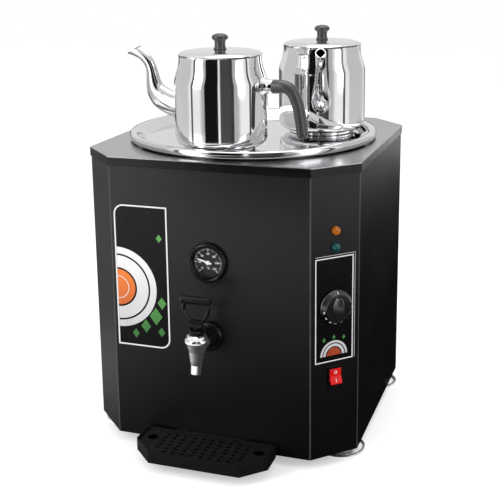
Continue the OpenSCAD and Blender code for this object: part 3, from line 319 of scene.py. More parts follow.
POT_STEEL = (0.80, 0.80, 0.81)
enamel()
plastic("gloss_enamel", (0.0020, 0.0020, 0.0023), 0.16, 0.21, grain=1400, bump=0.03, specular=0.28)
brushed("hob_steel", (0.42, 0.42, 0.43), 0.20, 0.25, stretch=(0.03, 1, 1), scale=900)
brushed("satin_steel", (0.62, 0.62, 0.63), 0.24, 0.36, stretch=(1, 1, 0.05))
brushed("zinc_steel", (0.60, 0.60, 0.57), 0.3, 0.45)
brushed("element_sheath", (0.30, 0.29, 0.29), 0.35, 0.5, scale=120)
brushed("brass", (0.70, 0.52, 0.22), 0.25, 0.4)
brushed("copper", (0.70, 0.36, 0.22), 0.25, 0.4)
brushed("knob_skirt", (0.10, 0.10, 0.105), 0.22, 0.32, scale=160)
polished("foot_steel", (0.90, 0.90, 0.91), 0.26, 0.36)
polished("spout_steel", (0.60, 0.60, 0.61), 0.06, 0.12)
polished("tap_chrome", (0.88, 0.88, 0.89), 0.03, 0.09, smear=120, metal=0.94)
spun("lid_steel", (0.76, 0.76, 0.77), 0.045, 0.10, (0, MIDDLE_Y), 0.02)
spun("pot_front_steel", POT_STEEL, 0.03, 0.07, POT_PLACE["front"], 0.01)
spun("pot_rear_steel", POT_STEEL, 0.03, 0.07, POT_PLACE["rear"], 0.01)
plastic("mineral_wool", (0.62, 0.55, 0.38), 0.8, 0.95, grain=300, bump=0.8)
plastic("bakelite", (0.040, 0.040, 0.043), 0.22, 0.32, grain=700)
plastic("knob_plastic", (0.010, 0.010, 0.011), 0.14, 0.20, grain=500, bump=0.02)
plastic("black_plastic", (0.004, 0.004, 0.0045), 0.13, 0.20, grain=600, bump=0.03, specular=0.26)
plastic("dial_print", (0.006, 0.006, 0.0065), 0.5, 0.6, specular=0.2)
plastic("needle_white", (0.86, 0.86, 0.84), 0.4, 0.5, lift=1.05)
plastic("silicone", (0.80, 0.80, 0.77), 0.5, 0.6, lift=1.05)
plastic("tray_plastic", (0.007, 0.007, 0.0075), 0.24, 0.34, grain=1100, bump=0.08, specular=0.35)
plastic("film_black", (0.0035, 0.0035, 0.004), 0.20, 0.28, grain=300, bump=0.01, specular=0.16)
plastic("ink_white", (0.80, 0.80, 0.79), 0.35, 0.45, lift=1.06)
plastic("ink_grey", (0.40, 0.40, 0.41), 0.35, 0.45)
plastic("terminal_white", (0.80, 0.78, 0.70), 0.4, 0.5, lift=1.05)
plastic("switch_red", (0.64, 0.004, 0.003), 0.24, 0.32, grain=500, bump=0.02, lift=1.1, specular=0.16)
lens("amber_lens", (0.62, 0.17, 0.008), 0.05)
lens("green_lens", (0.003, 0.11, 0.10), 0.03)
clear_glass()
graded("ink_amber", (0.30, 0.02, 0.004), (0.86, 0.20, 0.02), 190, 310)
graded("ink_green", (0.015, 0.10, 0.02), (0.10, 0.36, 0.07), 180, 300)
graded("ink_pearl", (0.42, 0.42, 0.44), (0.86, 0.86, 0.85), 160, 340)

# The CAD nodes that show, by material. Finer pieces replace the rest.
NODES_OF = {
    "black_enamel": ("front_shell", "rear_shell"),
    "gloss_enamel": ("top_frame",),
    "hob_steel": ("hob_plate",),
    "satin_steel": ("base_plate", "tank", "tray_bracket", "lid_locator", "tap_stem", "tap_pin", "gauge_case"),
    "foot_steel": ("foot_front_left", "foot_front_right", "foot_rear_left", "foot_rear_right"),
    "zinc_steel": ("foot_bolts",),
    "element_sheath": ("heating_element",),
    "mineral_wool": ("insulation_jacket",),
    "brass": ("element_nuts", "gauge_stem", "tap_nut"),
    "copper": ("thermostat_bulb",),
    "bakelite": ("limit_thermostat", "thermostat_body"),
    "black_plastic": (
        "gauge_bezel", "tap_escutcheon", "tap_bonnet", "tap_lever", "switch_housing", "cable_gland",
    ),
    "dial_print": ("gauge_dial",),
    "needle_white": ("gauge_needle",),
    "clear_glass": ("gauge_glass",),
    "tap_chrome": ("tap_body",),
    "silicone": ("tap_seat",),
    "tray_plastic": ("drip_tray", "drip_grid"),
    "amber_lens": ("amber_lamp",),
    "green_lens": ("green_lamp",),
    "film_black": ("control_plate", "picture_plate"),
    "switch_red": ("switch_rocker",),
    "terminal_white": ("terminal_block",),
}
for material, nodes in NODES_OF.items():
    for node in nodes:
        NODES[node].data.materials.clear()
        NODES[node].data.materials.append(MATERIALS[material])

# Small bevel on the edges that turn by more than 28 degrees
for node in ("front_shell", "rear_shell", "top_frame", "drip_tray"):
    bevel = NODES[node].modifiers.new("edge", "BEVEL")
    bevel.width = 0.5 * MM
    bevel.segments = 2
    bevel.limit_method = "ANGLE"
    bevel.angle_limit = math.radians(28)


# ---------------------------------------- meshes

def mesh_of(name, verts, faces):
    """A mesh from points in millimetres."""
    mesh = bpy.data.meshes.new(name)
    mesh.from_pydata([tuple(c * MM for c in v) for v in verts], [], faces)
    return mesh


def linked(name, data):
    """A new object in the scene."""
    thing = bpy.data.objects.new(name, data)
    bpy.context.scene.collection.objects.link(thing)
    return thing


def new_piece(name, mesh, material, body):
    """A piece of the object, riding on its body."""
    mesh.materials.clear()
    mesh.materials.append(MATERIALS[material])
    piece = linked(name, mesh)
    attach(piece, body)
    return piece


def finish_mesh(name, geometry, material, body, sharp=35):
    """A piece from points and faces, smooth but for edges sharper than this many degrees."""
    mesh = mesh_of(name, *geometry)
    bm = bmesh.new()
    bm.from_mesh(mesh)
    bmesh.ops.remove_doubles(bm, verts=bm.verts, dist=1e-7)
    bmesh.ops.recalc_face_normals(bm, faces=bm.faces)
    # A thin tube such as a spout's can come out inside out
    if bm.calc_volume(signed=True) < 0:
        bmesh.ops.reverse_faces(bm, faces=bm.faces)
    bm.to_mesh(mesh)
    bm.free()
    mesh.polygons.foreach_set("use_smooth", [True] * len(mesh.polygons))
    mesh.set_sharp_from_angle(angle=math.radians(sharp))
    return new_piece(name, mesh, material, body)


def text_mesh(name, words, size, matrix, material, body):
    """Lettering centred on the matrix's place, facing its Z."""
    font = bpy.data.curves.new(name, "FONT")
    font.body = words
    font.align_x = "CENTER"
    font.align_y = "CENTER"
    font.size = size * MM
    font.extrude = 0.02 * MM
    font.offset = 0.012 * size * MM
    curves = linked(name, font)
    in_metres = matrix.copy()
    in_metres.translation = in_metres.translation * MM
    curves.matrix_world = in_metres
    bpy.context.view_layer.update()
    shown = curves.evaluated_get(bpy.context.evaluated_depsgraph_get())
    mesh = bpy.data.meshes.new_from_object(shown)
    mesh.transform(curves.matrix_world)
    bpy.data.objects.remove(curves)
    new_piece(name, mesh, material, body)


def moved(x, y, z):
    return Matrix.Translation((x, y, z))


def turned(degrees, axis):
    return Matrix.Rotation(math.radians(degrees), 4, axis)


def placed(points, matrix):
    return [tuple(matrix @ Vector(p)) for p in points]


def polar(radius, degrees):
    return radius * math.cos(math.radians(degrees)), radius * math.sin(math.radians(degrees))


def lathe(profile, matrix, steps=128):
    """A closed outline of (radius, height) turned about local Z."""
    verts, faces, rows = [], [], []
    for radius, z in profile:
        if radius < 1e-6:
            rows.append([len(verts)])
            verts.append((0, 0, z))
        else:
            rows.append(list(range(len(verts), len(verts) + steps)))
            verts += [(*polar(radius, 360 * i / steps), z) for i in range(steps)]
    for a, b in zip(rows, rows[1:] + rows[:1]):
        for i in range(steps):
            j = (i + 1) % steps
            if len(a) > 1 and len(b) > 1:
                faces.append((a[i], a[j], b[j], b[i]))
            elif len(b) > 1:
                faces.append((a[0], b[j], b[i]))
            elif len(a) > 1:
                faces.append((a[i], a[j], b[0]))
    return placed(verts, matrix), faces


def loft(rings, matrix, caps=True):
    """Skin over rings that all have the same number of points."""
    n = len(rings[0])
    verts = [point for ring in rings for point in ring]
    faces = []
    for i in range(len(rings) - 1):
        for j in range(n):
            k = (j + 1) % n
            faces.append((i * n + j, i * n + k, (i + 1) * n + k, (i + 1) * n + j))
    if caps:
        faces.append(tuple(range(n)))
        faces.append(tuple((len(rings) - 1) * n + j for j in range(n)))
    return placed(verts, matrix), faces


def prism(outline, low, high, matrix):
    n = len(outline)
    verts = [(x, y, z) for z in (low, high) for x, y in outline]
    faces = [tuple(range(n)), tuple(range(n, 2 * n))]
    faces += [(i, (i + 1) % n, n + (i + 1) % n, n + i) for i in range(n)]
    return placed(verts, matrix), faces


def band(outer, inner, low, high, matrix):
    """Flat band between two outlines with the same number of points."""
    n = len(outer)
    verts = [(x, y, z) for z in (low, high) for ring in (outer, inner) for x, y in ring]
    faces = []
    for i in range(n):
        j = (i + 1) % n
        faces += [
            (i, j, n + j, n + i), (2 * n + i, 2 * n + j, 3 * n + j, 3 * n + i),
            (i, j, 2 * n + j, 2 * n + i), (n + i, n + j, 3 * n + j, 3 * n + i),
        ]
    return placed(verts, matrix), faces


def arc(cx, cy, radius, start, end, steps):
    """Points of an arc between two angles in degrees."""
    spokes = [polar(radius, start + (end - start) * i / steps) for i in range(steps + 1)]
    return [(cx + x, cy + y) for x, y in spokes]


def circle(radius, steps=32):
    return arc(0, 0, radius, 0, 360, steps)[:-1]


def rectangle(x0, y0, x1, y1):
    return [(x0, y0), (x1, y0), (x1, y1), (x0, y1)]


def bezier(points, t):
    """The point at t, from 0 to 1, of the curve that these points control."""
    while len(points) > 1:
        points = [[(1 - t) * a + t * b for a, b in zip(p, q)] for p, q in zip(points, points[1:])]
    return tuple(points[0])


def curve(points, steps):
    """The curve's points after its first one."""
    return [bezier(points, i / steps) for i in range(1, steps + 1)]


def along(path, t):
    """Point, direction and left normal of a curve in a plane."""
    (x0, z0), (x1, z1) = bezier(path, max(t - 0.01, 0)), bezier(path, min(t + 0.01, 1))
    length = math.hypot(x1 - x0, z1 - z0)
    direction = ((x1 - x0) / length, (z1 - z0) / length)
    return bezier(path, t), direction, (-direction[1], direction[0])


def between(t, stations):
    """Value at t on the straight lines between stations of (t, value)."""
    if t <= stations[0][0]:
        return stations[0][1]
    for (t0, value0), (t1, value1) in zip(stations, stations[1:]):
        if t <= t1:
            return value0 + (value1 - value0) * (t - t0) / (t1 - t0)
    return stations[-1][1]


def oval(centre, normal, half_wide, half_high, power, steps):
    """Ring round a point of a path. A power under 1 squares it, a power over 1 points it."""
    def powered(value):
        return math.copysign(abs(value) ** power, value)

    ring = []
    for j in range(steps):
        turn = 2 * math.pi * j / steps
        up, aside = half_high * powered(math.cos(turn)), half_wide * powered(math.sin(turn))
        ring.append((centre[0] + up * normal[0], aside, centre[1] + up * normal[1]))
    return ring


def sheet(line, thick):
    """Closed outline of a sheet of this thickness on the left of a line of points."""
    def normal(i):
        (x0, y0), (x1, y1) = line[i], line[i + 1]
        length = math.hypot(x1 - x0, y1 - y0)
        return (y0 - y1) / length, (x1 - x0) / length

    other_side = []
    for i, (x, y) in enumerate(line):
        before, after = normal(max(i - 1, 0)), normal(min(i, len(line) - 2))
        reach = thick / (1 + before[0] * after[0] + before[1] * after[1])
        other_side.append((max(x + reach * (before[0] + after[0]), 0), y + reach * (before[1] + after[1])))
    return line + other_side[::-1]


def on_front(x, z):
    """Local X to the right, Y up, Z out of the front face."""
    return moved(x, FRONT_Y, z) @ turned(90, "X")


def on_corner(z):
    """The same on the middle of the right corner face."""
    return moved(CORNER_X, CORNER_Y, z) @ turned(45, "Z") @ turned(90, "X")


# ---------------------------------------- boiler lid: a dish with a steam hole in its rim

LID_Z = corners("boiler_lid")[0][2]
LID_SHEET = 1.2
LID_CREST = HOB_TOP + 12.8
# The steam hole's distance from the lid's middle, its direction in degrees and its radius
HOLE_OFF, HOLE_TURN, HOLE_R = 191, 199, 2
# Pieces that rest on each other stand this far apart
GAP = LID_Z - HOB_TOP


def lid_profile():
    line = [(0, LID_Z), (60, LID_Z), (120, LID_Z), (178, LID_Z), (181, LID_Z), (183.5, LID_Z + 0.3)]
    line += [(185, LID_Z + 1.2)]
    rim = [(185, LID_Z + 1.2), (190, LID_CREST - 7), (195, LID_CREST - 2.6), (199, LID_CREST - 0.8)]
    line += curve(rim, 10)
    line += [(200.6, LID_CREST - 0.2), (202.2, LID_CREST), (204, LID_CREST - 0.15)]
    line += arc(205.2, LID_CREST - 3.8, 3.6, 62, 0, 8)
    line += [(208.8, HOB_TOP + 5), (208.2, HOB_TOP + 4.1), (207.4, HOB_TOP + 4)]
    return sheet(line, LID_SHEET)


def cut_hole(piece, place, radius, low, high):
    """Takes an upright round hole out of a piece's mesh."""
    pin = lathe([(0, 0), (radius, 0), (radius, high - low), (0, high - low)], moved(*place, low), 24)
    cutter = linked("cutter", mesh_of("cutter", *pin))
    hole = piece.modifiers.new("hole", "BOOLEAN")
    hole.object = cutter
    hole.operation = "DIFFERENCE"
    hole.solver = "EXACT"
    bpy.context.view_layer.objects.active = piece
    bpy.ops.object.modifier_apply(modifier=hole.name)
    bpy.data.objects.remove(cutter)


def build_lid():
    dish = lathe(lid_profile(), moved(0, MIDDLE_Y, 0), 256)
    lid = finish_mesh("boiler_lid_spun", dish, "lid_steel", "lid", 40)
    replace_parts(lid, "boiler_lid")
    x, y = polar(HOLE_OFF, HOLE_TURN)
    cut_hole(lid, (x, MIDDLE_Y + y), HOLE_R, HOB_TOP, HOB_TOP + 24)


build_lid()


# ---------------------------------------- teapots: local Z up from the base, spout towards -X

POT_Z = LID_Z + LID_SHEET + GAP
POT_R = corners("front_pot_body")[1][0] - POT_PLACE["front"][0]
POT_H = 150
POT_SHEET = 1.0
MOUTH_R = 65.5


def pot_profile():
    """Ring foot, straight wall, and a shoulder that draws in to the mouth."""
    line = [(0, 3), (24, 3), (48.6, 3), (49.3, 1.6), (50, 0.3), (50.8, 0), (53.2, 0), (54.2, 0.3)]
    line += [(54.9, 1.3), (55, 2.6), (54.6, 3.8), (55.2, 4.8), (56.6, 5.1)]
    line += curve([(56.6, 5.1), (61, 5.6), (71, 7.6), (POT_R, 13.5), (POT_R, 23)], 12)
    line += [(POT_R, 50), (POT_R, 80), (POT_R, 104), (POT_R - 0.02, 106), (POT_R - 0.15, 107.3)]
    line += curve([(POT_R - 0.15, 107.3), (73.1, 115), (68.8, 124), (66.2, 133), (MOUTH_R + 0.2, 141)], 14)
    line += [(MOUTH_R, 144.5), (MOUTH_R, 147.2), (MOUTH_R + 0.2, 148.6), (MOUTH_R + 0.6, POT_H)]
    return sheet(line, POT_SHEET)


# The spout's path in (x, z), and its half width, half height and oval's power at shares of the path
SPOUT_PATH = [
    (12 - POT_R, 61), (-POT_R - 82, 76), (-POT_R - 34, 112), (-POT_R - 43.65, 145.5), (-POT_R - 96, 154.5),
]
SPOUT_WIDE = ((0, 17), (0.1, 15.8), (0.2, 14.6), (0.32, 12.4), (0.45, 10), (0.55, 8.9), (0.65, 8.3))
SPOUT_HIGH = (
    (0, 20.5), (0.1, 19.8), (0.2, 18.8), (0.32, 15.4), (0.45, 11.6), (0.55, 9.8), (0.65, 8.7), (1, 9),
)
SPOUT_POWER = ((0.5, 1), (0.8, 1.15), (1, 1.35))
SPOUT_WALL = 0.9
# The slanting mouth: a point of its plane, the plane's normal, and how far along X from the point it cuts
LIP = (-POT_R - 97, 145)
MOUTH_NORMAL = polar(1, 90 + 28)
LIP_REACH = 60
# The spout's foot ends inside the body's wall
SPOUT_FOOT_R = POT_R - 0.4


def spout_ring(t, wall):
    """Ring at a share of the path, slid along the spout where the mouth or the body's wall cuts it."""
    centre, (dx, dz), normal = along(SPOUT_PATH, t)
    half_wide, half_high = between(t, SPOUT_WIDE) - wall, between(t, SPOUT_HIGH) - wall
    ring = []
    for x, y, z in oval(centre, normal, half_wide, half_high, between(t, SPOUT_POWER), 48):
        over = (x - LIP[0]) * MOUTH_NORMAL[0] + (z - LIP[1]) * MOUTH_NORMAL[1]
        if over > 0 and x < LIP[0] + LIP_REACH:
            back = over / (dx * MOUTH_NORMAL[0] + dz * MOUTH_NORMAL[1])
            x, z = x - dx * back, z - dz * back
        foot = -math.sqrt(max(SPOUT_FOOT_R ** 2 - y * y, 0))
        if x > foot:
            x, z = foot, z + (foot - x) * dz / dx
        ring.append((x, y, z))
    return ring


def spout_skin(steps=64):
    """Outside, inside and the rims at both ends."""
    outside = [spout_ring(i / steps, 0) for i in range(steps + 1)]
    inside = [spout_ring(i / steps, SPOUT_WALL) for i in range(steps + 1)]
    return outside + inside[::-1] + outside[:1]


# The grip's path in (x, z), with its half width and half height at shares of the path
FERRULE_Z = 103
GRIP_PATH = [(91.2, FERRULE_Z), (107.2, FERRULE_Z), (124.5, 110), (133.8, 90), (140.5, 22)]
GRIP_WIDE = ((0, 11), (0.15, 11.2), (0.3, 11.4), (1, 10.6))
GRIP_HIGH = ((0, 11), (0.15, 10.6), (0.3, 10), (0.5, 9.1), (1, 8.6))
GRIP_POWER = 0.88
# The share where its rounded end begins, and the end's length
GRIP_END, GRIP_END_LONG = 0.972, 6


def grip_ring(t):
    share = min(t, GRIP_END)
    round_off = (t - share) / (1 - GRIP_END) * math.pi / 2
    slide, shrink = GRIP_END_LONG * math.sin(round_off), max(math.cos(round_off), 0)
    (x, z), (dx, dz), normal = along(GRIP_PATH, share)
    half_wide, half_high = shrink * between(share, GRIP_WIDE), shrink * between(share, GRIP_HIGH)
    return oval((x + slide * dx, z + slide * dz), normal, half_wide, half_high, GRIP_POWER, 40)


def ferrule_profile():
    """Domed saddle against the body, then the sleeve round the grip's tenon, along the grip's axis."""
    saddle = [(9.9, 73.2), (13.6, 73.2), (13.7, 74.4), (13.2, 76), (12.2, 77.2), (11.3, 78.2), (11, 79.4)]
    return saddle + [(11, 84), (11, 90), (10.8, 90.8), (10.2, 91), (9.9, 90.6)]


def pot_lid_profile(z):
    """Shallow dome from the knob's screw hole to the edge over the mouth."""
    line = [(2.1, z + 6.5), (12, z + 6.45), (28, z + 6.2), (40, z + 5.8), (50, z + 5.2), (56, z + 4.5)]
    line += [(60.5, z + 3.4), (63.6, z + 2.0), (65.2, z + 1.0), (66.2, z + 0.2), (66.6, z)]
    return sheet(line, POT_SHEET)


def collar_profile(z):
    """Ring under the lid that stands in the mouth."""
    return [(63.2, z - 9), (64.2, z - 9), (64.2, z + 2), (63.2, z + 2.4)]


def pot_knob_profile(z):
    """Foot, waist and head of the lid's turned knob."""
    knob = [(0, 0), (9.6, 0), (10.2, 0.3), (10.4, 1.0), (10, 1.8), (9.2, 2.5), (8.8, 4), (8.5, 7), (8.4, 10)]
    knob += [(8.5, 12), (9, 13.6), (10.2, 14.9), (11.8, 15.8), (12.7, 17), (13, 18.6), (12.8, 20.2)]
    knob += [(11.9, 21.7), (10.1, 23), (7.8, 24), (4.6, 24.8), (2, 25), (0, 25)]
    return [(radius, z + rise) for radius, rise in knob]


def build_pot(pot):
    body, lid_body = f"{pot}_teapot", f"{pot}_teapot_lid"
    steel = f"pot_{pot}_steel"
    at = moved(*POT_PLACE[pot], POT_Z) @ turned(POT_TURN[pot], "Z")
    grip_axis = at @ moved(0, 0, FERRULE_Z) @ turned(90, "Y")
    lid_z = POT_H + GAP

    def add(part, geometry, material, rides_on, sharp, stands_for=None):
        piece = finish_mesh(f"{pot}_pot_{part}", geometry, material, rides_on, sharp)
        if stands_for:
            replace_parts(piece, f"{pot}_pot_{stands_for}")

    add("vessel", lathe(pot_profile(), at, 192), steel, body, 45, "body")
    add("pourer", loft(spout_skin(), at, caps=False), "spout_steel", body, 50, "spout")
    add("sleeve", lathe(ferrule_profile(), grip_axis, 64), steel, body, 35, "ferrule")
    handle = loft([grip_ring(i / 72) for i in range(73)], at)
    add("handle", handle, "bakelite", body, 60, "grip")
    add("lid_spun", lathe(pot_lid_profile(lid_z), at, 192), steel, lid_body, 50, "lid")
    add("lid_collar", lathe(collar_profile(lid_z), at), steel, lid_body, 35)
    knob = lathe(pot_knob_profile(lid_z + 7.5), at, 64)
    add("lid_grip", knob, "bakelite", lid_body, 60, "knob")


build_pot("front")
build_pot("rear")


# ---------------------------------------- prints on the two plates

# Thickness of the plates' film and of a layer of ink
FILM = FRONT_Y - corners("picture_plate")[0][1]
INK = 0.12


def ink(plate, part, geometry, material):
    finish_mesh(f"{plate}_{part}", geometry, material, "urn", 30)


def flat(outline, matrix, level=1.0):
    """Ink on the film. A higher level keeps it clear of the ink under it."""
    return prism(outline, FILM, FILM + INK * level, matrix)


def frame_line(outer, inner, matrix):
    """Ink between two outlines."""
    return band(outer, inner, FILM, FILM + INK, matrix)


def fan(cx, cy, inner, outer, start, end):
    """Band of a circle between two radii and two angles, or a sector when the inner radius is 0."""
    return arc(cx, cy, outer, start, end, 48) + (arc(cx, cy, inner, end, start, 48) if inner else [])


def diamond(cx, cy, half_wide, half_high):
    return [(cx - half_wide, cy), (cx, cy - half_high), (cx + half_wide, cy), (cx, cy + half_high)]


def plate_outline(half_wide, half_high, radius, inset):
    """Rectangle set in by this much, round at its lower right and upper left corners."""
    w, h, r = half_wide - inset, half_high - inset, radius - inset
    return [(-w, -h)] + arc(w - r, r - h, r, -90, 0, 12) + [(w, h)] + arc(r - w, h - r, r, 90, 180, 12)


def build_picture():
    """Frame line, half rings round an amber half disc at the left edge, and green diamonds beside them."""
    low, high = corners("picture_plate")
    half_wide, half_high = (high[0] - low[0]) / 2, (high[2] - low[2]) / 2
    x, _, z = middle("picture_plate")
    at = on_front(x, z)
    outer, inner = (plate_outline(half_wide, half_high, 17, inset) for inset in (0.6, 3.0))
    ink("picture", "border", frame_line(outer, inner, at), "ink_white")
    left, height = 3.4 - half_wide, -20
    for part, r0, r1, level, colour in (
        ("ring_outer", 56, 67, 1.0, "ink_pearl"),
        ("ring_inner", 33, 53, 1.1, "ink_pearl"),
        ("disc", 0, 30, 1.0, "ink_amber"),
        ("disc_line", 18, 19.2, 1.3, "ink_pearl"),
    ):
        ink("picture", part, flat(fan(left, height, r0, r1, -90, 90), at, level), colour)
    diamonds = ((22, -64, 11), (33, -41, 7.5), (4, -82, 8.5), (31, -90, 6), (-14, -96, 6), (31, 66, 5))
    for i, (x, y, half) in enumerate(diamonds):
        ink("picture", f"diamond_{i}", flat(diamond(x, y, half, half * 1.35), at, 1.4), "ink_green")


def build_control_print():
    """Frame line, fine lines beside it, and half rings like the picture's, standing on the lower edge."""
    low, high = corners("control_plate")
    # The plate stands at 45 degrees to X
    half_wide = ((high[0] - low[0]) * math.sqrt(2) - FILM) / 2
    half_high = (high[2] - low[2]) / 2
    at = on_corner(middle("control_plate")[2])
    left, bottom, right, top = 0.3 - half_wide, 0.2 - half_high, half_wide - 3.7, half_high - 4
    wide, fine = 1.7, 1.0
    inner = rectangle(left + wide, bottom + wide, right - wide, top - wide)
    ink("control", "frame", frame_line(rectangle(left, bottom, right, top), inner, at), "ink_white")
    right, top = half_wide - 0.3, half_high - 0.6
    ink("control", "line_top", flat(rectangle(left, top - fine, right, top), at), "ink_grey")
    ink("control", "line_side", flat(rectangle(right - fine, bottom, right, top - fine), at), "ink_grey")
    x, y = -2, -76
    for part, r0, r1, level, colour in (
        ("ring_outer", 20.5, 24, 1.0, "ink_pearl"),
        ("ring_inner", 14.5, 18.8, 1.1, "ink_pearl"),
        ("disc", 0, 12.6, 1.0, "ink_amber"),
    ):
        ink("control", part, flat(fan(x, y, r0, r1, 0, 180), at, level), colour)
    for i, off in enumerate((-17.5, 0, 17.5)):
        shape = diamond(x + off, y + 29.5 - abs(off) * 0.14, 3.0, 4.2)
        ink("control", f"diamond_{i}", flat(shape, at, 1.1), "ink_green")


build_picture()
build_control_print()


# ---------------------------------------- thermometer's dial: ticks and numbers

DIAL_X, _, DIAL_Z = joint_place("needle_swing")
DIAL = on_front(DIAL_X, DIAL_Z)
# The dial's face stands a little behind the panel's
DIAL_FACE = FRONT_Y - corners("gauge_dial")[0][1]
# Every how many steps a tick of this kind stands, with its inner radius, outer radius and half width
TICKS = ((10, 17.6, 22.4, 0.42), (5, 19.4, 22.2, 0.3), (1, 20.6, 22.0, 0.16))


def scale_angle(share):
    """The scale runs clockwise through 270 degrees, from the lower left to the lower right."""
    return 225 - 270 * share


def dial_ticks():
    verts, faces = [], []
    for i in range(61):
        _, inner, outer, half = next(tick for tick in TICKS if i % tick[0] == 0)
        at = DIAL @ turned(scale_angle(i / 60), "Z")
        tick_verts, tick_faces = prism(rectangle(inner, -half, outer, half), DIAL_FACE, DIAL_FACE + 0.08, at)
        faces += [tuple(len(verts) + corner for corner in face) for face in tick_faces]
        verts += tick_verts
    return verts, faces


def dial_text(part, words, size, x, y):
    at = DIAL @ moved(x, y, DIAL_FACE + 0.06)
    text_mesh(f"dial_{part}", words, size, at, "ink_white", "urn")


def build_dial():
    finish_mesh("dial_ticks", dial_ticks(), "ink_white", "urn")
    for i in range(7):
        dial_text(f"number_{i}", str(20 * i), 5.0, *polar(14, scale_angle(i / 6)))
    dial_text("unit", "°C", 4.4, 0, -9.5)


build_dial()


# ---------------------------------------- thermostat knob: skirt, cap, leaf-shaped grip

KNOB = on_corner(joint_place("thermostat_turn")[2])
KNOB_BODY, KNOB_SLOT = "thermostat_dial", "knob_plastic"
# The skirt's cone carries the numbers. It rises from its outer to its inner (radius, height).
CONE_FOOT, CONE_TOP = (26.6, 5.6), (22.4, 11.0)
CONE_SLOPE = (CONE_TOP[1] - CONE_FOOT[1]) / (CONE_FOOT[0] - CONE_TOP[0])
CAP_LOW, CAP_TOP = 11.2, 12
# The leaf's half length, its ridge's height and oval, and the arcs of its sides: their radius and offset
LEAF_HALF_LONG = 19.6
LEAF_RISE, LEAF_OVAL = 15, 20
LEAF_SIDE_R, LEAF_SIDE_OFF = 30, 18.6


def knob_piece(part, geometry, material, sharp=35):
    return finish_mesh(f"knob_{part}", geometry, material, KNOB_BODY, sharp)


def skirt_profile():
    below_cone = [(3.1, 9), (20, 7.6), (26.4, 2.1), (27.4, 2.0), (27.9, 2.3), (28, 3.2), (27.6, 4.6)]
    return below_cone + [CONE_FOOT, CONE_TOP, (22.0, 11.4), (3.1, 11.4)]


def leaf_ring(share):
    """Cross section of the grip at a share of its length: a rounded ridge on a flat base."""
    y = LEAF_HALF_LONG * (2 * share - 1)
    rise = LEAF_RISE * math.sqrt(1 - (y / LEAF_OVAL) ** 2) ** 0.9
    half_wide = math.sqrt(LEAF_SIDE_R ** 2 - y * y) - LEAF_SIDE_OFF
    across = [i / 8 - 1 for i in range(17)]
    ridge = [(half_wide * u, y, CAP_TOP - 0.2 + rise * (1 - abs(u) ** 1.35)) for u in across]
    return ridge + [(half_wide, y, CAP_LOW), (-half_wide, y, CAP_LOW)]


def on_skirt(degrees, radius, lift):
    """Place on the skirt's cone: X runs round it, Y up its slope towards the middle."""
    place = moved(radius, 0, CONE_TOP[1] - (radius - CONE_TOP[0]) * CONE_SLOPE)
    tilt = turned(math.degrees(math.atan(CONE_SLOPE)), "Y")
    return KNOB @ turned(degrees, "Z") @ place @ tilt @ moved(0, 0, lift) @ turned(90, "Z")


def build_knob():
    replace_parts(knob_piece("skirt", lathe(skirt_profile(), KNOB), "knob_skirt", 30), "thermostat_knob")
    cap = [(0, CAP_LOW), (21.2, CAP_LOW), (21.8, 11.5), (21.6, 11.9), (20.8, CAP_TOP), (0, CAP_TOP)]
    knob_piece("cap", lathe(cap, KNOB, 96), "knob_plastic")
    knob_piece("shaft", lathe([(0, -19), (3, -19), (3, 11.4), (0, 11.4)], KNOB, 32), "satin_steel")
    knob_piece("leaf", loft([leaf_ring(i / 32) for i in range(33)], KNOB), "knob_plastic", 50)
    off_mark = prism(rectangle(-0.6, -2.4, 0.6, 2.4), -0.4, 0.02, on_skirt(90, 24.5, 0.1))
    knob_piece("mark_off", off_mark, "ink_white")
    for i in range(9):
        at = on_skirt(188 + 24 * i, 24.4, 0.12)
        text_mesh(f"knob_number_{i}", str(30 + 10 * i), 4.2, at, "ink_white", KNOB_BODY)


build_knob()


# ---------------------------------------- tap spring

def build_spring():
    """Coil of wire between the spring's lower and upper seats."""
    low, high = corners("tap_spring")
    x, y, _ = middle("tap_spring")
    wire, turns, steps, sides = 0.6, 5, 32, 10
    coil = (high[0] - low[0]) / 2 - wire
    rise = high[2] - low[2] - 2 * wire
    rings = []
    for i in range(turns * steps + 1):
        ring = []
        for j in range(sides):
            out, up = polar(wire, 360 * j / sides)
            z = low[2] + wire + rise * i / (turns * steps) + up
            ring.append((*polar(coil + out, 360 * i / steps), z))
        rings.append(ring)
    spring = loft(rings, moved(x, y, 0))
    piece = finish_mesh("tap_spring_coil", spring, "satin_steel", "urn", 60)
    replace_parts(piece, "tap_spring")
    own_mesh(piece)


build_spring()


# ---------------------------------------- rocker's marks: a ring for off, a bar for on

def build_switch_marks():
    """At rest the rocker is tilted by half its swing. Its two faces rise from its middle to its ends."""
    swing = JOINTS["switch_rock"]["range_deg"][1]
    rocker = moved(*joint_place("switch_rock")) @ turned(45, "Z") @ turned(90 - swing / 2, "X")
    face_rise, face_long = 2.6, 11.07
    slope = math.degrees(math.atan2(face_rise, face_long))
    out, raised, thick = 6.4, 5.25, 0.1
    ring_at = rocker @ moved(0, out, raised) @ turned(slope, "X")
    bar_at = rocker @ moved(0, -out, raised) @ turned(-slope, "X")
    ring = band(circle(2.7), circle(1.9), 0, thick, ring_at)
    bar = prism(rectangle(-0.45, -2.8, 0.45, 2.8), 0, thick, bar_at)
    finish_mesh("switch_mark_off", ring, "ink_white", "rocker")
    finish_mesh("switch_mark_on", bar, "ink_white", "rocker")


build_switch_marks()


# ---------------------------------------- studio: floor and background, in metres

WHITE = (1, 1, 1, 1)
FLOOR_HALF = 6


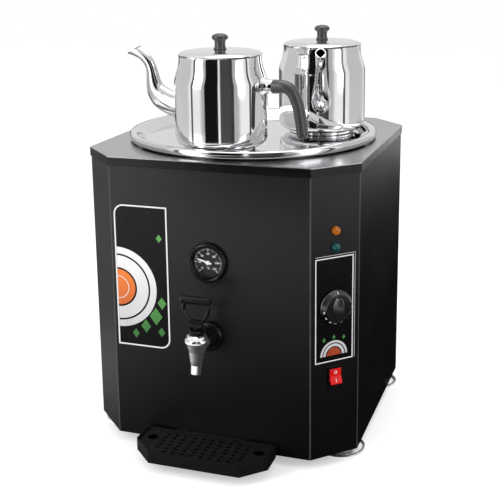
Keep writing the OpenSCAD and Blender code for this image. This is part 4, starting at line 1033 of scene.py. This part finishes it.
def seen_directly(tree):
    """1 for camera, glossy and transmission rays, 0 for the rest."""
    rays = tree.nodes.new("ShaderNodeLightPath").outputs
    seen_or_mirrored = math_node(tree, "MAXIMUM", rays["Is Camera Ray"], rays["Is Glossy Ray"])
    return math_node(tree, "MAXIMUM", seen_or_mirrored, rays["Is Transmission Ray"])


def stage_mesh(name, points, faces, material):
    mesh = bpy.data.meshes.new(name)
    mesh.from_pydata(points, [], faces)
    mesh.materials.append(material)
    stand = linked(name, mesh)
    return stand


def build_floor():
    """White ground, which glows where it is seen or mirrored, so that it meets the background unseen."""
    m = new_material("floor", (0.93, 0.93, 0.93), 0.6, Specular_IOR_Level=0.0)
    principled(m).inputs["Emission Color"].default_value = WHITE
    glow = math_node(m.node_tree, "MULTIPLY", seen_directly(m.node_tree), 0.42)
    m.node_tree.links.new(glow, principled(m).inputs["Emission Strength"])
    square = rectangle(-FLOOR_HALF, -FLOOR_HALF, FLOOR_HALF, FLOOR_HALF)
    stage_mesh("floor", [(x, y, 0) for x, y in square], [(0, 1, 2, 3)], m)


def build_background():
    """White all round, and weaker as a light than it is to the eye."""
    world = bpy.data.worlds.new("studio")
    bpy.context.scene.world = world
    world.use_nodes = True
    tree = world.node_tree
    inputs = tree.nodes["Background"].inputs
    inputs["Color"].default_value = WHITE
    tree.links.new(ranged(tree, seen_directly(tree), 0.0, 1.0, 0.62, 1.0), inputs["Strength"])


# ---------------------------------------- studio: soft cards that only reflections see

# Tones of the cards, from black at 0 to white at 1
FLOOR_TONE = 0.003
DEEP, GREY = 0.004, 0.1
# Share of an upright card's height that is soft at either end, where nothing else is said
SOFT_ENDS = 0.12


def card(name, points, faces, matrix, cover, tone, fade):
    """Card of this tone that covers this share of what is behind it, where fade(tree) gives 1."""
    m = bpy.data.materials.new(name)
    m.use_nodes = True
    tree = m.node_tree
    tree.nodes.remove(principled(m))
    clear = tree.nodes.new("ShaderNodeBsdfTransparent")
    glow = tree.nodes.new("ShaderNodeEmission")
    glow.inputs["Color"].default_value = (tone, tone, tone, 1)
    mix = tree.nodes.new("ShaderNodeMixShader")
    tree.links.new(math_node(tree, "MULTIPLY", fade(tree), cover), mix.inputs[0])
    tree.links.new(clear.outputs[0], mix.inputs[1])
    tree.links.new(glow.outputs[0], mix.inputs[2])
    tree.links.new(mix.outputs[0], tree.nodes["Material Output"].inputs["Surface"])
    sheet_object = stage_mesh(name, points, faces, m)
    sheet_object.matrix_world = matrix
    sheet_object.visible_camera = sheet_object.visible_diffuse = False
    sheet_object.visible_shadow = sheet_object.visible_transmission = False


def upright_card(
    name, centre, azimuths, distance, heights, cover, soft_sides, soft_ends=SOFT_ENDS, tone=DEEP,
):
    """Upright card facing a centre (x, y), between two azimuths in degrees from +X and two heights."""
    azimuth = sum(azimuths) / 2
    half_wide = distance * math.tan(math.radians(azimuths[1] - azimuths[0]) / 2)
    low, high = heights

    def fade(tree):
        axes = object_axes(tree)
        across = math_node(tree, "ABSOLUTE", axes[0])
        edge = (high - low) * soft_ends
        return product(tree, (
            ranged(tree, across, half_wide * (1 - soft_sides), half_wide, 1, 0, smooth=True),
            ranged(tree, axes[2], low, low + edge, smooth=True),
            ranged(tree, axes[2], high - edge, high, 1, 0, smooth=True),
        ))

    points = [(x, 0, z) for x, z in rectangle(-half_wide, low, half_wide, high)]
    out_x, out_y = polar(distance, azimuth)
    matrix = moved(centre[0] + out_x, centre[1] + out_y, 0) @ turned(azimuth + 90, "Z")
    card(name, points, [(0, 1, 2, 3)], matrix, cover, tone, fade)


def floor_card(name, box, cover, fades, height):
    """Card over the floor in a box (x0, y0, x1, y1). Each fade (axis, clear, full) runs along X or Y."""
    def fade(tree):
        axes = object_axes(tree)
        parts = []
        for axis, clear, full in fades:
            ends = (clear, full, 0, 1) if clear < full else (full, clear, 1, 0)
            parts.append(ranged(tree, axes[axis], *ends, smooth=True))
        return product(tree, parts)

    points = [(x, y, 0) for x, y in rectangle(*box)]
    card(name, points, [(0, 1, 2, 3)], moved(0, 0, height), cover, FLOOR_TONE, fade)


def ring_card(name, radius, azimuths, top, cover, soft, steps=48):
    """Low curved card round the back, fading out upwards."""
    def fade(tree):
        return ranged(tree, object_axes(tree)[2], top - soft, top, 1, 0, smooth=True)

    foot = arc(0, 0, radius, *azimuths, steps)
    points = [(x, y, z) for x, y in foot for z in (0, top)]
    faces = [(i, i + 2, i + 3, i + 1) for i in range(0, 2 * steps, 2)]
    card(name, points, faces, Matrix.Identity(4), cover, FLOOR_TONE, fade)


def build_floor_cards():
    """Dark ground with soft sides, for the enamel to mirror, and more of it to the left."""
    fades = ((0, -1.15, 0.1), (0, 2.6, 0.9), (1, -2.1, -0.45), (1, 2.6, 1.3))
    floor_card("card_floor", (-1.2, -2.1, 2.6, 2.6), 1.0, fades, 0.002)
    fades = ((0, -2.8, -2.3), (0, -0.3, -0.75), (1, -0.2, 0.0))
    floor_card("card_floor_left", (-2.8, -0.2, -0.3, 2.4), 0.78, fades, 0.003)


def build_back_cards():
    """Behind the object: a low dark ring, a high grey card and a dark band between them."""
    origin = (0, 0)
    ring_card("card_ring", 0.8, (60, 142), 0.39, 0.96, 0.14)
    upright_card("card_back", origin, (62, 158), 0.95, (0.45, 1.9), 0.2, 0.3, tone=GREY)
    upright_card("card_edge", origin, (60, 160), 0.93, (0.28, 0.60), 0.85, 0.6, 0.2)


def build_pot_cards():
    """Cards round the front teapot, for the upright bands that its wall mirrors."""
    eye = [c * MM for c in POT_PLACE["front"]]
    for name, azimuths, distance, cover, soft_sides, tone in (
        ("dark_left", (-110, -74.5), 0.62, 0.995, 0.2, DEEP),
        ("soft_left", (-122, -98), 0.66, 0.5, 0.8, DEEP),
        ("dark_right", (-73, -38), 0.62, 0.93, 0.18, DEEP),
        ("soft_right", (-50, -20), 0.66, 0.5, 0.8, DEEP),
        ("line_left", (-144.5, -138), 0.62, 0.9, 0.4, DEEP),
        ("line_right", (-1, 6), 0.62, 0.9, 0.4, DEEP),
        ("grey_left", (-215, -148), 0.7, 0.36, 0.3, GREY),
        ("grey_right", (9, 62), 0.7, 0.40, 0.3, GREY),
    ):
        upright_card(f"card_{name}", eye, azimuths, distance, (0.25, 1.2), cover, soft_sides, tone=tone)


build_floor()
build_floor_cards()
build_back_cards()
build_pot_cards()
build_background()


# ---------------------------------------- studio: lamps and camera

def lamp(name, place, target, size, watts):
    """Rectangular lamp aimed at a target."""
    light = bpy.data.lights.new(name, "AREA")
    light.shape = "RECTANGLE"
    light.size, light.size_y = size
    light.energy = watts
    stand = linked(name, light)
    stand.location = place
    stand.rotation_euler = (Vector(target) - Vector(place)).to_track_quat("-Z", "Y").to_euler()


def build_camera(place, yaw, pitch, roll, focal, shift):
    """Camera that looks along +Y, turned left by the yaw and down by the pitch, rolled, and shifted."""
    optics = bpy.data.cameras.new("camera")
    optics.sensor_width = 36
    optics.lens = focal
    optics.shift_y = shift
    optics.clip_start, optics.clip_end = 0.05, 60
    camera = linked("camera", optics)
    camera.matrix_world = moved(*place) @ turned(yaw, "Z") @ turned(90 - pitch, "X") @ turned(roll, "Z")
    bpy.context.scene.camera = camera


lamp("key", (-1.35, -1.75, 1.25), (0, 0, 0.45), size=(0.85, 2.0), watts=24)
lamp("fill", (1.95, -0.75, 1.15), (0, 0, 0.45), size=(0.8, 1.9), watts=11)
lamp("top", (0.1, 0.3, 2.2), (0, 0, 0.3), size=(1.4, 1.4), watts=16)
# The photograph's viewpoint
build_camera((0.5447, -1.5727, 0.8058), yaw=18.975, pitch=12.989, roll=-0.704, focal=72.27, shift=-0.15)
bpy.context.scene.view_settings.view_transform = "Standard"
